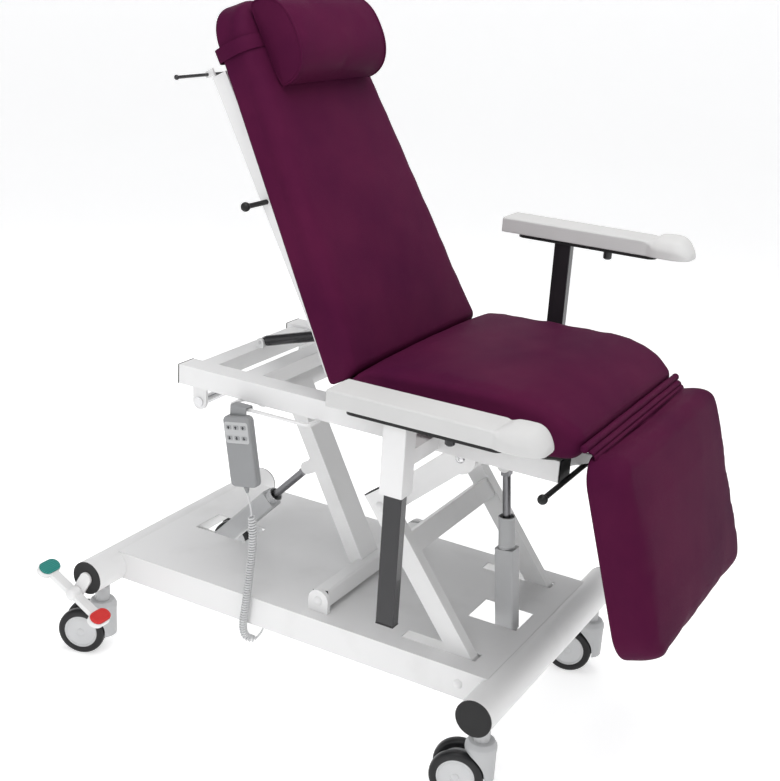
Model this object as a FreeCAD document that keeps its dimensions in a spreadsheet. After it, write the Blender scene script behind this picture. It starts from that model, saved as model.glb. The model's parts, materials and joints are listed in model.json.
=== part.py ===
import FreeCAD, Part
import Sketcher
import math
import os

# Tilting, height-adjustable treatment chair on a wheeled base, in millimetres.
# +Z is up, the sitter faces -Y, and +X is the sitter's left.
# The origin is on the floor, midway between the four wheels.

V = FreeCAD.Vector
DOC = FreeCAD.newDocument("treatment_chair")

SIZES = {
    "fit_gap": 0.3, "run_gap": 0.05, "overrun": 5, "plug_thick": 3, "seat_gap": 0.3,
    "frame_shift": 121.1,
    # base
    "cross_tube_radius": 44, "cross_tube_wall": 3, "cross_tube_half": 392,
    "cross_tube_place": 555, "cross_tube_height": 234, "plug_spigot": 12,
    "deck_half": 292, "deck_top": 275.5, "sheet_thick": 4, "tray_depth": 75,
    "arm_slot_place": 220, "arm_slot_width": 36, "arm_slot_rear": 285, "arm_slot_front": 479,
    "actuator_slot_half": 52, "front_slot_rear": 369, "front_slot_front": 498,
    "rear_slot_front": 309, "rear_slot_rear": 469,
    "beam_place": 175, "beam_width": 30, "beam_height": 46, "beam_wall": 3,
    # casters
    "wheel_diameter": 125, "wheel_width": 24, "wheel_pair_distance": 52, "wheel_trail": 48,
    "tyre_depth": 15, "hub_disc_recess": 2, "caster_place_across": 335,
    "caster_post_radius": 36, "caster_post_foot": 53, "caster_post_top": 150,
    "caster_collar_radius": 29, "caster_collar_height": 10, "caster_stem_radius": 19,
    "caster_web_half": 11, "caster_web_height": 46, "axle_radius": 8, "wheel_gap": 3,
    # brake pedal
    "pedal_shaft_radius": 7, "pedal_behind": 25, "pedal_below": 42, "pedal_arm_width": 26,
    "pedal_arm_thick": 14, "pedal_standoff": 1, "pedal_hub_radius": 15,
    "pedal_hub_length": 28, "pedal_plate_thick": 6, "pedal_plate_radius": 17,
    "pedal_reach": 96, "pedal_pad_length": 62, "pedal_pad_width": 38, "pedal_pad_thick": 5,
    "pedal_shoe_edge": 2, "pedal_tilt": 28,
    # lift arm and its cross tubes
    "lift_pivot_place": 60, "lift_pivot_height": 306, "lift_top_place": 190,
    "lift_top_height": 742, "pivot_tube_side": 43, "pivot_tube_wall": 3,
    "pivot_tube_half": 240, "pivot_tube_lean": 10, "ear_place": 251, "ear_thick": 12,
    "ear_radius": 28, "pivot_pin_radius": 11, "dome_radius": 12, "dome_height": 8,
    "lift_arm_width": 80, "lift_arm_thick": 40, "lift_arm_wall": 3, "lift_arm_set_back": 18,
    "top_tube_radius": 19, "top_tube_wall": 3, "top_tube_half": 148, "lug_thick": 8,
    "lug_radius": 34,
    # lower arms and upper links
    "hip_place": 465, "hip_height": 238, "elbow_place": 203, "elbow_height": 588,
    "arm_width": 30, "arm_depth": 50, "arm_wall": 3, "arm_head": 38,
    "hip_pin_radius": 10, "elbow_pin_radius": 8, "elbow_clearance": 3.5,
    "tie_tube_side": 50, "tie_tube_depth": 40, "tie_tube_place": 325,
    "link_place": 180.5, "link_width": 30, "link_depth": 60, "link_wall": 3,
    "disc_place": 382, "disc_rise": -54, "disc_pin_radius": 12, "disc_radius": 38,
    # seat frame
    "rail_place": 235, "rail_width": 60, "rail_height": 50, "rail_wall": 3,
    "rail_middle": 798, "rail_front": 640, "rail_rear": 364,
    "cross_member_width": 50, "cross_member_height": 40, "cross_member_wall": 3,
    "front_member_place": 600, "spring_member_place": 322, "tail_lug_place": 320,
    "tail_lug_rise": -70, "tail_lug_radius": 20, "hinge_radius": 13,
    "hinge_pin_radius": 7, "back_hinge_side": 155, "leg_hinge_side": 168,
    "foot_bar_side": 120,
    "sleeve_place": 414, "sleeve_place_front": 336, "sleeve_length": 56, "sleeve_width": 50,
    "sleeve_foot": 721, "sleeve_top": 881, "sleeve_arm_height": 36, "sleeve_arm_length": 40,
    # armrests
    "post_length": 44, "post_width": 25, "post_wall": 3, "post_foot": 410, "post_gap": 0.5,
    "armrest_lift": 245, "plate_height": 886, "plate_thick": 8, "plate_rear": 220, "plate_front": 587,
    "plate_width": 84, "pad_rear": 178, "pad_front": 672, "pad_width": 94, "pad_thick": 39,
    "pad_edge": 11, "grip_length": 88, "grip_width": 112, "grip_rise": 9,
    "knob_radius": 11, "knob_height": 26, "knob_place": 454,
    # actuators
    "rear_foot_place": 430, "rear_foot_height": 221, "rear_eye_place": 140,
    "rear_eye_height": 524, "front_foot_place": 455, "front_foot_height": 223,
    "front_eye_place": 410, "front_eye_height": 672, "motor_width": 42, "motor_depth": 50,
    "rear_housing_length": 250, "rear_guide_length": 14, "front_housing_length": 236,
    "front_guide_length": 76, "housing_foot": 22, "guide_radius": 18.5, "guide_bore": 17.3,
    "rod_radius": 10, "rod_overlap": 60, "eye_radius": 14, "eye_width": 24,
    "eye_pin_radius": 6, "bracket_thick": 6, "bracket_width": 34, "eye_play": 1,
    # backrest
    "back_tilt": 28.5, "back_foot_place": 85, "back_foot_rise": 76, "back_side": 73,
    "back_crown": 12, "back_length": 885, "back_half_foot": 316, "back_half_head": 232,
    "back_corner": 88, "back_edge": 26, "back_board_thick": 14, "back_hinge_place": 98,
    "back_hinge_rise": 52, "back_frame_place": 210, "back_frame_width": 30,
    "back_frame_depth": 40, "back_frame_foot": 110, "back_frame_head": 745,
    "back_frame_wall": 2.5, "back_arm_width": 25, "back_arm_depth": 22,
    "back_tie_along": 160, "roll_rod_radius": 4, "roll_rod_half": 324, "roll_rod_tip": 6,
    "roll_rod_along": 760, "roll_rod_behind": 59, "roll_bracket_place": 210,
    "grip_bar_radius": 6, "grip_bar_half": 306, "grip_ball_radius": 11,
    "grip_bar_along": 440, "grip_bar_behind": 26,
    "strap_along": 775, "strap_width": 34, "strap_thick": 2, "strap_half": 245,
    "pillow_half": 186, "pillow_foot": 662, "pillow_head": 858, "pillow_thick": 90,
    "pillow_edge": 40,
    # gas spring behind the backrest
    "spring_foot_place": 300, "spring_foot_rise": 34, "spring_head_along": 72,
    "spring_head_behind": 18, "spring_barrel_radius": 14, "spring_bore": 12,
    "spring_barrel_length": 228, "spring_rod_radius": 5, "spring_rod_length": 156,
    "spring_eye_radius": 11, "spring_eye_width": 16, "spring_pin_radius": 5,
    # seat
    "seat_half": 318, "seat_board_thick": 15, "seat_rear": 116, "seat_front": 692,
    "seat_corner": 60, "seat_thick": 122, "seat_crown": 10, "seat_nose": 34, "board_inset": 24,
    "flap_radius": 9, "flap_place": 701.3, "flap_rise": 78, "flap_half": 296,
    # legrest
    "leg_tilt": 16.4, "leg_hinge_place": 706, "leg_hinge_rise": 52, "leg_lead": 2.8,
    "leg_behind": 15.4, "leg_length": 457, "leg_half": 328, "leg_side": 63, "leg_crown": 16,
    "leg_corner": 84, "leg_skirt": 24, "leg_skirt_drop": 40, "leg_top_corner": 60, "leg_board_thick": 12, "leg_frame_width": 30,
    "leg_frame_depth": 20, "leg_frame_length": 330,
    "foot_bar_radius": 6, "foot_bar_half": 378, "foot_bar_place": 654, "foot_bar_rise": -18,
    # handset
    "loop_rear": 185, "loop_front": 45, "loop_reach": 43, "loop_bar": 9, "loop_thick": 6,
    "loop_tuck": 40, "handset_across": 318, "handset_top": 756, "handset_place": 147, "handset_lean": 10,
    "handset_length": 176, "handset_width": 76, "handset_thick": 25, "handset_round": 6,
    "hook_width": 46, "hook_thick": 5, "key_width": 15, "key_height": 10, "key_proud": 1.6,
    "key_depth": 4, "key_pitch_across": 21, "key_pitch_down": 26, "key_top_drop": 27,
    "key_gap": 0.3, "key_travel_room": 1.2, "gland_radius": 9, "gland_length": 16,
    "gland_place": 262, "gland_place_rear": 85,
    # handset cord
    "cord_radius": 3, "curl_radius": 8.5, "curl_wire_radius": 2.5,
    "cord_upper_x": 312, "cord_upper_y": 92, "cord_upper_z": 493,
    "cord_lower_x": 307, "cord_lower_y": 114, "cord_lower_z": 290,
    "cord_low_x": 305, "cord_low_y": 132, "cord_low_z": 158,
}

# Places that follow the middle of the seat rails, by their rise above it
ON_RAILS = ("disc", "tail_lug", "back_foot", "back_hinge", "spring_foot", "flap", "leg_hinge",
            "foot_bar")
SHEET = DOC.addObject("Spreadsheet::Sheet", "dims")
FORMULAS = {}
for place in ON_RAILS:
    SIZES[place + "_height"] = SIZES["rail_middle"] + SIZES[place + "_rise"]
    FORMULAS[place + "_height"] = "=rail_middle + %s_rise" % place
for row, (alias, number) in enumerate(SIZES.items(), start=1):
    SHEET.set("A%d" % row, alias)
    SHEET.set("B%d" % row, FORMULAS.get(alias, str(number)))
    SHEET.setAlias("B%d" % row, alias)
DOC.recompute()


class Size:
    """A number together with the spreadsheet expression that it comes from."""

    def __init__(self, value, text):
        self.value = value
        self.text = text

    def __add__(self, other):
        other = size(other)
        return Size(self.value + other.value, "(%s + %s)" % (self.text, other.text))

    def __sub__(self, other):
        other = size(other)
        return Size(self.value - other.value, "(%s - %s)" % (self.text, other.text))

    def __mul__(self, other):
        other = size(other)
        return Size(self.value * other.value, "(%s * %s)" % (self.text, other.text))

    def __truediv__(self, other):
        other = size(other)
        return Size(self.value / other.value, "(%s / %s)" % (self.text, other.text))

    def __neg__(self):
        return Size(-self.value, "(-1 * %s)" % self.text)

    def __radd__(self, other):
        return size(other) + self

    def __rsub__(self, other):
        return size(other) - self

    def __rmul__(self, other):
        return size(other) * self


def size(number):
    """Return a Size for a plain number, or the Size itself."""
    if isinstance(number, Size):
        return number
    return Size(float(number), repr(number) if number >= 0 else "(%r)" % number)


class Sheet:
    """Gives each named length as a Size: d.wheel_width is the cell wheel_width."""

    def __getattr__(self, alias):
        return Size(float(SIZES[alias]), "dims." + alias)


d = Sheet()
ZERO = size(0)
RIGHT_ANGLE = size(90)


def cos(angle):
    angle = size(angle)
    return Size(math.cos(math.radians(angle.value)), "cos(%s * 1 deg)" % angle.text)


def sin(angle):
    angle = size(angle)
    return Size(math.sin(math.radians(angle.value)), "sin(%s * 1 deg)" % angle.text)


def hypot(a, b):
    return Size(math.hypot(a.value, b.value), "hypot(%s; %s)" % (a.text, b.text))


def slope(rise, run):
    """Angle in degrees of a line that climbs rise over run."""
    text = "(atan2(%s; %s) / 1 deg)" % (rise.text, run.text)
    return Size(math.degrees(math.atan2(rise.value, run.value)), text)


AXES = {"x": V(1, 0, 0), "y": V(0, 1, 0), "z": V(0, 0, 1)}
TURN_TO = {"x": FreeCAD.Rotation(V(0, 1, 0), 90), "y": FreeCAD.Rotation(V(1, 0, 0), -90),
           "z": FreeCAD.Rotation()}
NODES = {}
serial = [0]


def new(kind, name="piece"):
    serial[0] += 1
    return DOC.addObject(kind, "%s_%d" % (name, serial[0]))


def bind(thing, prop, value):
    value = size(value)
    if not prop.startswith("Placement"):
        setattr(thing, prop, value.value)
    thing.setExpression(prop, value.text)


def put(thing, x=0, y=0, z=0, axis=None, angle=0):
    """Place a piece: its own origin goes to x, y, z, turned by angle about an axis."""
    x, y, z, angle = size(x), size(y), size(z), size(angle)
    if axis:
        thing.Placement = FreeCAD.Placement(V(x.value, y.value, z.value),
                                            FreeCAD.Rotation(AXES[axis], angle.value))
        thing.setExpression("Placement.Rotation.Angle", angle.text)
    else:
        thing.Placement.Base = V(x.value, y.value, z.value)
    for letter, value in (("x", x), ("y", y), ("z", z)):
        thing.setExpression("Placement.Base." + letter, value.text)
    return thing


def box(x0, x1, y0, y1, z0, z1):
    """A block between two planes each way."""
    thing = new("Part::Box", "block")
    bind(thing, "Length", size(x1) - x0)
    bind(thing, "Width", size(y1) - y0)
    bind(thing, "Height", size(z1) - z0)
    return put(thing, x0, y0, z0)


def rod(axis, radius, start, end, a=0, b=0):
    """A round bar along an axis, from start to end; a and b place it on the other two."""
    thing = new("Part::Cylinder", "round")
    bind(thing, "Radius", radius)
    bind(thing, "Height", size(end) - start)
    thing.Placement.Rotation = TURN_TO[axis]
    x, y, z = {"x": (start, a, b), "y": (a, start, b), "z": (a, b, start)}[axis]
    for letter, value in (("x", x), ("y", y), ("z", z)):
        value = size(value)
        thing.setExpression("Placement.Base." + letter, value.text)
    return thing


def ball(radius, x, y, z):
    thing = new("Part::Sphere", "ball")
    bind(thing, "Radius", radius)
    return put(thing, x, y, z)


def fuse(*things):
    thing = new("Part::MultiFuse", "joined")
    thing.Shapes = list(things)
    thing.Refine = True
    return thing


def group(*things):
    """Several solids in one sub-part, each still a solid of its own."""
    thing = new("Part::Compound", "set")
    thing.Links = list(things)
    return thing


def cut(base, *tools):
    thing = new("Part::Cut", "cut")
    thing.Base = base
    thing.Tool = tools[0] if len(tools) == 1 else fuse(*tools)
    return thing


def common(base, tool):
    thing = new("Part::Common", "shared")
    thing.Base = base
    thing.Tool = tool
    return thing


def span(side, near, far):
    """The two planes near and far from the middle of the chair, in rising order."""
    return (size(near), size(far)) if side > 0 else (-size(far), -size(near))


def round_block(axis, radius, x, y, z):
    """A block whose four edges along one axis are rounded."""
    spans = {"x": tuple(map(size, x)), "y": tuple(map(size, y)), "z": tuple(map(size, z))}
    first, second = [letter for letter in "xyz" if letter != axis]
    pieces = []
    for narrow in (first, second):
        reach = dict(spans)
        reach[narrow] = (spans[narrow][0] + radius, spans[narrow][1] - radius)
        pieces.append(box(*(reach["x"] + reach["y"] + reach["z"])))
    for a in (spans[first][0] + radius, spans[first][1] - radius):
        for b in (spans[second][0] + radius, spans[second][1] - radius):
            pieces.append(rod(axis, radius, spans[axis][0], spans[axis][1], a, b))
    return fuse(*pieces)


def moved_to(thing, x, y, z, axis, angle):
    """A piece that was built about its own origin, set in its place as one unit."""
    return put(group(thing), x, y, z, axis, angle)


def moved(thing, x, y, z, angle):
    return moved_to(thing, x, y, z, "x", angle)


def solid(shape):
    thing = new("Part::Feature", "form")
    thing.Shape = shape
    return thing


def node(name, thing):
    """Name a finished sub-part, set where the whole chair's middle is the origin."""
    part = put(group(thing), 0, d.frame_shift, 0)
    part.Label = name
    NODES[name] = part
    return thing


def square_tube(across, depth, wall, start, end, centre=0):
    """A hollow rectangular tube along its own Y axis, open at its ends."""
    half, deep = size(across) / 2, size(depth) / 2
    outer = box(centre - half, centre + half, start, end, -deep, deep)
    inner = box(centre - half + wall, centre + half - wall, start - d.overrun, end + d.overrun,
                wall - deep, deep - wall)
    return outer, inner


def body_profile(name, points, plane="XZ_Plane"):
    """A part design body with one closed sketch whose corners are bound to the sheet."""
    body = new("PartDesign::Body", name)
    sketch = body.newObject("Sketcher::SketchObject", name + "_outline")
    origin = [f for f in body.Origin.OriginFeatures if f.Role == plane][0]
    sketch.AttachmentSupport = [(origin, "")]
    sketch.MapMode = "FlatFace"
    corners = [(size(a), size(b)) for a, b in points]
    count = len(corners)
    for i, (a, b) in enumerate(corners):
        c, e = corners[(i + 1) % count]
        sketch.addGeometry(Part.LineSegment(V(a.value, b.value, 0), V(c.value, e.value, 0)))
    for i in range(count):
        sketch.addConstraint(constraint("Coincident", i, 2, (i + 1) % count, 1))
    for i, (a, b) in enumerate(corners):
        for kind, value in (("DistanceX", a), ("DistanceY", b)):
            if abs(value.value) < 1e-9:
                link = "PointOnObject"
                axis = -2 if kind == "DistanceX" else -1
                sketch.addConstraint(constraint(link, i, 1, axis))
                continue
            index = sketch.addConstraint(constraint(kind, -1, 1, i, 1, value.value))
            sketch.setExpression("Constraints[%d]" % index, value.text)
    return body, sketch


def constraint(*values):
    return Sketcher.Constraint(*values)


def turned(name, points):
    """A turned piece: its outline in radius and height, spun about its own Z axis."""
    body, sketch = body_profile(name, points)
    spin = body.newObject("PartDesign::Revolution", name + "_spin")
    spin.Profile = sketch
    spin.ReferenceAxis = (sketch, ["V_Axis"])
    spin.Angle = 360
    return body


def plate(name, points, plane, thick):
    body, sketch = body_profile(name, points, plane)
    pad = body.newObject("PartDesign::Pad", name + "_pad")
    pad.Profile = sketch
    bind(pad, "Length", thick)
    return body


def plate_yz(name, points, x0, thick):
    """A flat plate that lies in the YZ plane, from x0 over its thickness."""
    return put(plate(name, points, "YZ_Plane", thick), x0)


def plate_xy(name, points, z0, thick):
    """A flat plate that lies in the XY plane, from z0 over its thickness."""
    return put(plate(name, points, "XY_Plane", thick), 0, 0, z0)


def dome(x, y, z, side):
    """A low round cap on a pin's end, looking out along side."""
    radius, height = d.dome_radius, d.dome_height
    sphere_radius = (radius * radius + height * height) / (2 * height)
    sphere = ball(sphere_radius, size(x) - side * (sphere_radius - height), y, z)
    sphere.Placement.Rotation = TURN_TO["x"]
    lo, hi = (x, x + height) if side > 0 else (x - height, x)
    return common(sphere, rod("x", radius + d.overrun, lo, hi, y, z))


# Base frame

def cross_tubes():
    tubes = []
    for side in (-1, 1):
        place = side * d.cross_tube_place
        outer = rod("x", d.cross_tube_radius, -d.cross_tube_half, d.cross_tube_half, place,
                    d.cross_tube_height)
        inner = rod("x", d.cross_tube_radius - d.cross_tube_wall, -d.cross_tube_half - d.overrun,
                    d.cross_tube_half + d.overrun, place, d.cross_tube_height)
        tubes.append(cut(outer, inner))
    node("base_cross_tubes", group(*tubes))


def end_plugs():
    plugs = []
    bore = d.cross_tube_radius - d.cross_tube_wall - d.run_gap
    for side in (-1, 1):
        for end in (-1, 1):
            face = end * d.cross_tube_half
            place = side * d.cross_tube_place
            lo, hi = (face, face + d.plug_thick) if end > 0 else (face - d.plug_thick, face)
            cap = rod("x", d.cross_tube_radius, lo, hi, place, d.cross_tube_height)
            lo, hi = (face - d.plug_spigot, face) if end > 0 else (face, face + d.plug_spigot)
            plugs.append(fuse(cap, rod("x", bore, lo, hi, place, d.cross_tube_height)))
    node("base_tube_plugs", group(*plugs))


def tube_clearance(extra):
    tools = []
    for side in (-1, 1):
        tools.append(rod("x", d.cross_tube_radius + extra, -d.cross_tube_half,
                         d.cross_tube_half, side * d.cross_tube_place, d.cross_tube_height))
    return tools


def tray():
    outer = box(-d.deck_half, d.deck_half, -d.cross_tube_place, d.cross_tube_place,
                d.deck_top - d.tray_depth, d.deck_top)
    inner = box(d.sheet_thick - d.deck_half, d.deck_half - d.sheet_thick,
                -d.cross_tube_place - d.overrun, d.cross_tube_place + d.overrun,
                d.deck_top - d.tray_depth - d.overrun, d.deck_top - d.sheet_thick)
    low, high = d.deck_top - 2 * d.sheet_thick, d.deck_top + d.overrun
    slots = []
    for side in (-1, 1):
        middle = side * d.arm_slot_place
        slots.append(box(middle - d.arm_slot_width / 2, middle + d.arm_slot_width / 2,
                         -d.arm_slot_front, -d.arm_slot_rear, low, high))
        lo, hi = span(side, d.deck_half - 2 * d.sheet_thick, d.deck_half + d.overrun)
        slots.append(rod("x", d.hip_pin_radius + d.run_gap, lo, hi, -d.hip_place,
                         d.hip_height))
    slots.append(box(-d.actuator_slot_half, d.actuator_slot_half, -d.front_slot_front,
                     -d.front_slot_rear, low, high))
    slots.append(box(-d.actuator_slot_half, d.actuator_slot_half, d.rear_slot_front,
                     d.rear_slot_rear, low, high))
    return node("base_tray", cut(outer, inner, *(slots + tube_clearance(d.fit_gap))))


def beams():
    pieces = []
    top = d.deck_top - d.sheet_thick - d.fit_gap
    for side in (-1, 1):
        middle = side * d.beam_place
        outer, inner = square_tube(d.beam_width, d.beam_height, d.beam_wall,
                                   -d.cross_tube_place, d.cross_tube_place, middle)
        hole = rod("x", d.hip_pin_radius + d.run_gap, middle - d.beam_width,
                   middle + d.beam_width, -d.hip_place,
                   d.hip_height - (top - d.beam_height / 2))
        tube = cut(outer, inner, hole)
        pieces.append(put(tube, 0, 0, top - d.beam_height / 2))
    both = fuse(*pieces)
    node("base_beams", cut(both, *tube_clearance(d.fit_gap)))


def base_brackets():
    """Everything welded or bolted to the base that holds a pivot."""
    node("base_brackets", group(*(ears() + foot_brackets() + [pedal_bearing()])))


def ears():
    """Two rounded plates that stand on the deck and carry the lift arm's cross tube."""
    pieces = []
    place, height = -d.lift_pivot_place, d.lift_pivot_height
    for side in (-1, 1):
        lo = side * d.ear_place - d.ear_thick / 2
        hi = side * d.ear_place + d.ear_thick / 2
        disc = rod("x", d.ear_radius, lo, hi, place, height)
        foot = box(lo, hi, place - d.ear_radius, place + d.ear_radius,
                   d.deck_top + d.fit_gap, height)
        below = box(lo - d.overrun, hi + d.overrun, place - 2 * d.ear_radius,
                    place + 2 * d.ear_radius, ZERO, d.deck_top + d.fit_gap)
        hole = rod("x", d.pivot_pin_radius + d.run_gap, lo - d.overrun, hi + d.overrun,
                   place, height)
        pieces.append(cut(fuse(disc, foot), below, hole))
    return pieces


def base_pins():
    """Pivot pins that the base carries, each with a domed cap outside."""
    pins = []
    for side in (-1, 1):
        outer = side * (d.ear_place + d.ear_thick / 2)
        lo, hi = span(side, d.pivot_tube_half - 2 * d.ear_thick, d.ear_place + d.ear_thick / 2)
        pin = rod("x", d.pivot_pin_radius, lo, hi, -d.lift_pivot_place, d.lift_pivot_height)
        cap = dome(outer, -d.lift_pivot_place, d.lift_pivot_height, side)
        pins.append(fuse(pin, cap))
        outer = side * d.deck_half
        lo, hi = span(side, d.beam_place - d.beam_width / 2 - d.plug_thick, d.deck_half)
        pin = rod("x", d.hip_pin_radius, lo, hi, -d.hip_place, d.hip_height)
        cap = dome(outer, -d.hip_place, d.hip_height, side)
        pins.append(fuse(pin, cap))
    node("base_pivot_pins", group(*pins))


def foot_brackets():
    """Pairs of plates on the cross tubes that hold the feet of the two actuators."""
    pieces = []
    half = d.eye_width / 2 + d.eye_play
    feet = ((-1, d.front_foot_place, d.front_foot_height), (1, d.rear_foot_place, d.rear_foot_height))
    for end, place, height in feet:
        tube = end * d.cross_tube_place
        plates = []
        for side in (-1, 1):
            lo = half if side > 0 else -half - d.bracket_thick
            hi = lo + d.bracket_thick
            round_end = rod("x", d.bracket_width / 2, lo, hi, end * place, height)
            near, far = (tube, end * place) if end < 0 else (end * place, tube)
            arm = box(lo, hi, near, far, height - d.bracket_width / 2,
                      height + d.bracket_width / 2)
            plates.append(cut(fuse(round_end, arm), *tube_clearance(d.fit_gap)))
        pin = rod("x", d.eye_pin_radius, -half - d.bracket_thick, half + d.bracket_thick,
                  end * place, height)
        pieces.append(fuse(*(plates + [pin])))
    return pieces


def pedal_bearing():
    """A plate on the end plug with the stub that the brake pedal rocks on."""
    face = -d.cross_tube_half - d.plug_thick
    outer = face - d.pedal_plate_thick
    y, z = d.cross_tube_place + d.pedal_behind, d.cross_tube_height - d.pedal_below
    run, rise = d.pedal_behind, -d.pedal_below
    reach = hypot(rise, run)
    arm = box(outer, face, 0, reach, -d.pedal_plate_radius, d.pedal_plate_radius)
    arm = moved(arm, 0, d.cross_tube_place, d.cross_tube_height, slope(rise, run))
    return fuse(arm, rod("x", d.pedal_plate_radius, outer, face, y, z),
                rod("x", d.pedal_plate_radius, outer, face, d.cross_tube_place,
                    d.cross_tube_height),
                rod("x", d.pedal_shaft_radius, outer - d.pedal_hub_length, outer, y, z))


# Casters

CASTERS = {"front_right": (-1, -1, 17), "front_left": (1, -1, 10),
           "rear_right": (-1, 1, 20), "rear_left": (1, 1, 14)}


def caster(name, side, end, yaw):
    radius = d.wheel_diameter / 2
    post = turned("caster_post", [
        (0, d.caster_post_foot), (d.caster_post_radius, d.caster_post_foot),
        (d.caster_post_radius, d.caster_post_top - d.caster_collar_height),
        (d.caster_collar_radius, d.caster_post_top),
        (d.caster_stem_radius, d.caster_post_top),
        (d.caster_stem_radius, d.cross_tube_height - d.cross_tube_radius - d.seat_gap),
        (0, d.cross_tube_height - d.cross_tube_radius - d.seat_gap)])
    web = box(-d.caster_web_half, d.caster_web_half, 0, d.wheel_trail + 2 * d.axle_radius,
              radius - d.caster_web_height / 2, radius + d.caster_web_height / 2)
    clear = []
    for lean in (-1, 1):
        inner = lean * (d.wheel_pair_distance / 2 - d.wheel_width / 2 - d.wheel_gap)
        outer = lean * (d.wheel_pair_distance / 2 + d.wheel_width)
        lo, hi = (inner, outer) if lean > 0 else (outer, inner)
        clear.append(rod("x", radius + d.wheel_gap, lo, hi, d.wheel_trail, radius))
    bore = rod("x", d.axle_radius + d.run_gap, -d.wheel_pair_distance, d.wheel_pair_distance,
               d.wheel_trail, radius)
    housing = cut(fuse(post, web), *(clear + [bore]))
    wheels = [rod("x", d.axle_radius, -d.wheel_pair_distance / 2, d.wheel_pair_distance / 2,
                  d.wheel_trail, radius)]
    for lean in (-1, 1):
        half = d.wheel_width / 2
        wheel = turned("caster_wheel", [
            (0, -half), (radius - d.tyre_depth, -half),
            (radius - d.tyre_depth / 4, -half), (radius, -half / 2), (radius, half / 2),
            (radius - d.tyre_depth / 4, half), (radius - d.tyre_depth, half),
            (radius - d.tyre_depth, half - d.hub_disc_recess), (0, half - d.hub_disc_recess)])
        put(wheel, lean * d.wheel_pair_distance / 2, d.wheel_trail, radius, "y", lean * RIGHT_ANGLE)
        wheels.append(wheel)
    for label, thing in (("caster_housing_", housing), ("caster_wheels_", fuse(*wheels))):
        put(thing, side * d.caster_place_across, end * d.cross_tube_place, 0, "z", size(yaw))
        node(label + name, thing)


# Brake pedal

def pedal():
    """A two-armed rocker on its stub beside the rear cross tube."""
    hub_far = -d.cross_tube_half - d.plug_thick - d.pedal_plate_thick - d.pedal_standoff
    middle = -d.pedal_hub_length / 2
    half, thick = d.pedal_arm_width / 2, d.pedal_arm_thick / 2
    hub = rod("x", d.pedal_hub_radius, -d.pedal_hub_length, 0)
    bore = rod("x", d.pedal_shaft_radius + d.run_gap, -d.pedal_hub_length + d.pedal_standoff,
               d.overrun)
    arms = box(middle - half, middle + half, -d.pedal_reach, d.pedal_reach, -thick, thick)
    shoes, pads = [], []
    for end in (-1, 1):
        flat = d.pedal_pad_length / 2 - d.pedal_pad_width / 2
        place = end * d.pedal_reach
        layers = ((d.pedal_shoe_edge, -thick, thick, shoes),
                  (ZERO, thick, thick + d.pedal_pad_thick, pads))
        for grow, low, high, into in layers:
            radius = d.pedal_pad_width / 2 + grow
            into.append(fuse(
                box(middle - flat, middle + flat, place - radius, place + radius, low, high),
                rod("z", radius, low, high, middle - flat, place),
                rod("z", radius, low, high, middle + flat, place)))
    lever = cut(fuse(hub, arms, *shoes), bore)
    names = ("pedal_lever", "pedal_pad_lock", "pedal_pad_release")
    for name, thing in zip(names, (lever, pads[0], pads[1])):
        put(thing, hub_far, d.cross_tube_place + d.pedal_behind,
            d.cross_tube_height - d.pedal_below, "x", d.pedal_tilt)
        node(name, thing)


# Lift arm

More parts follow.
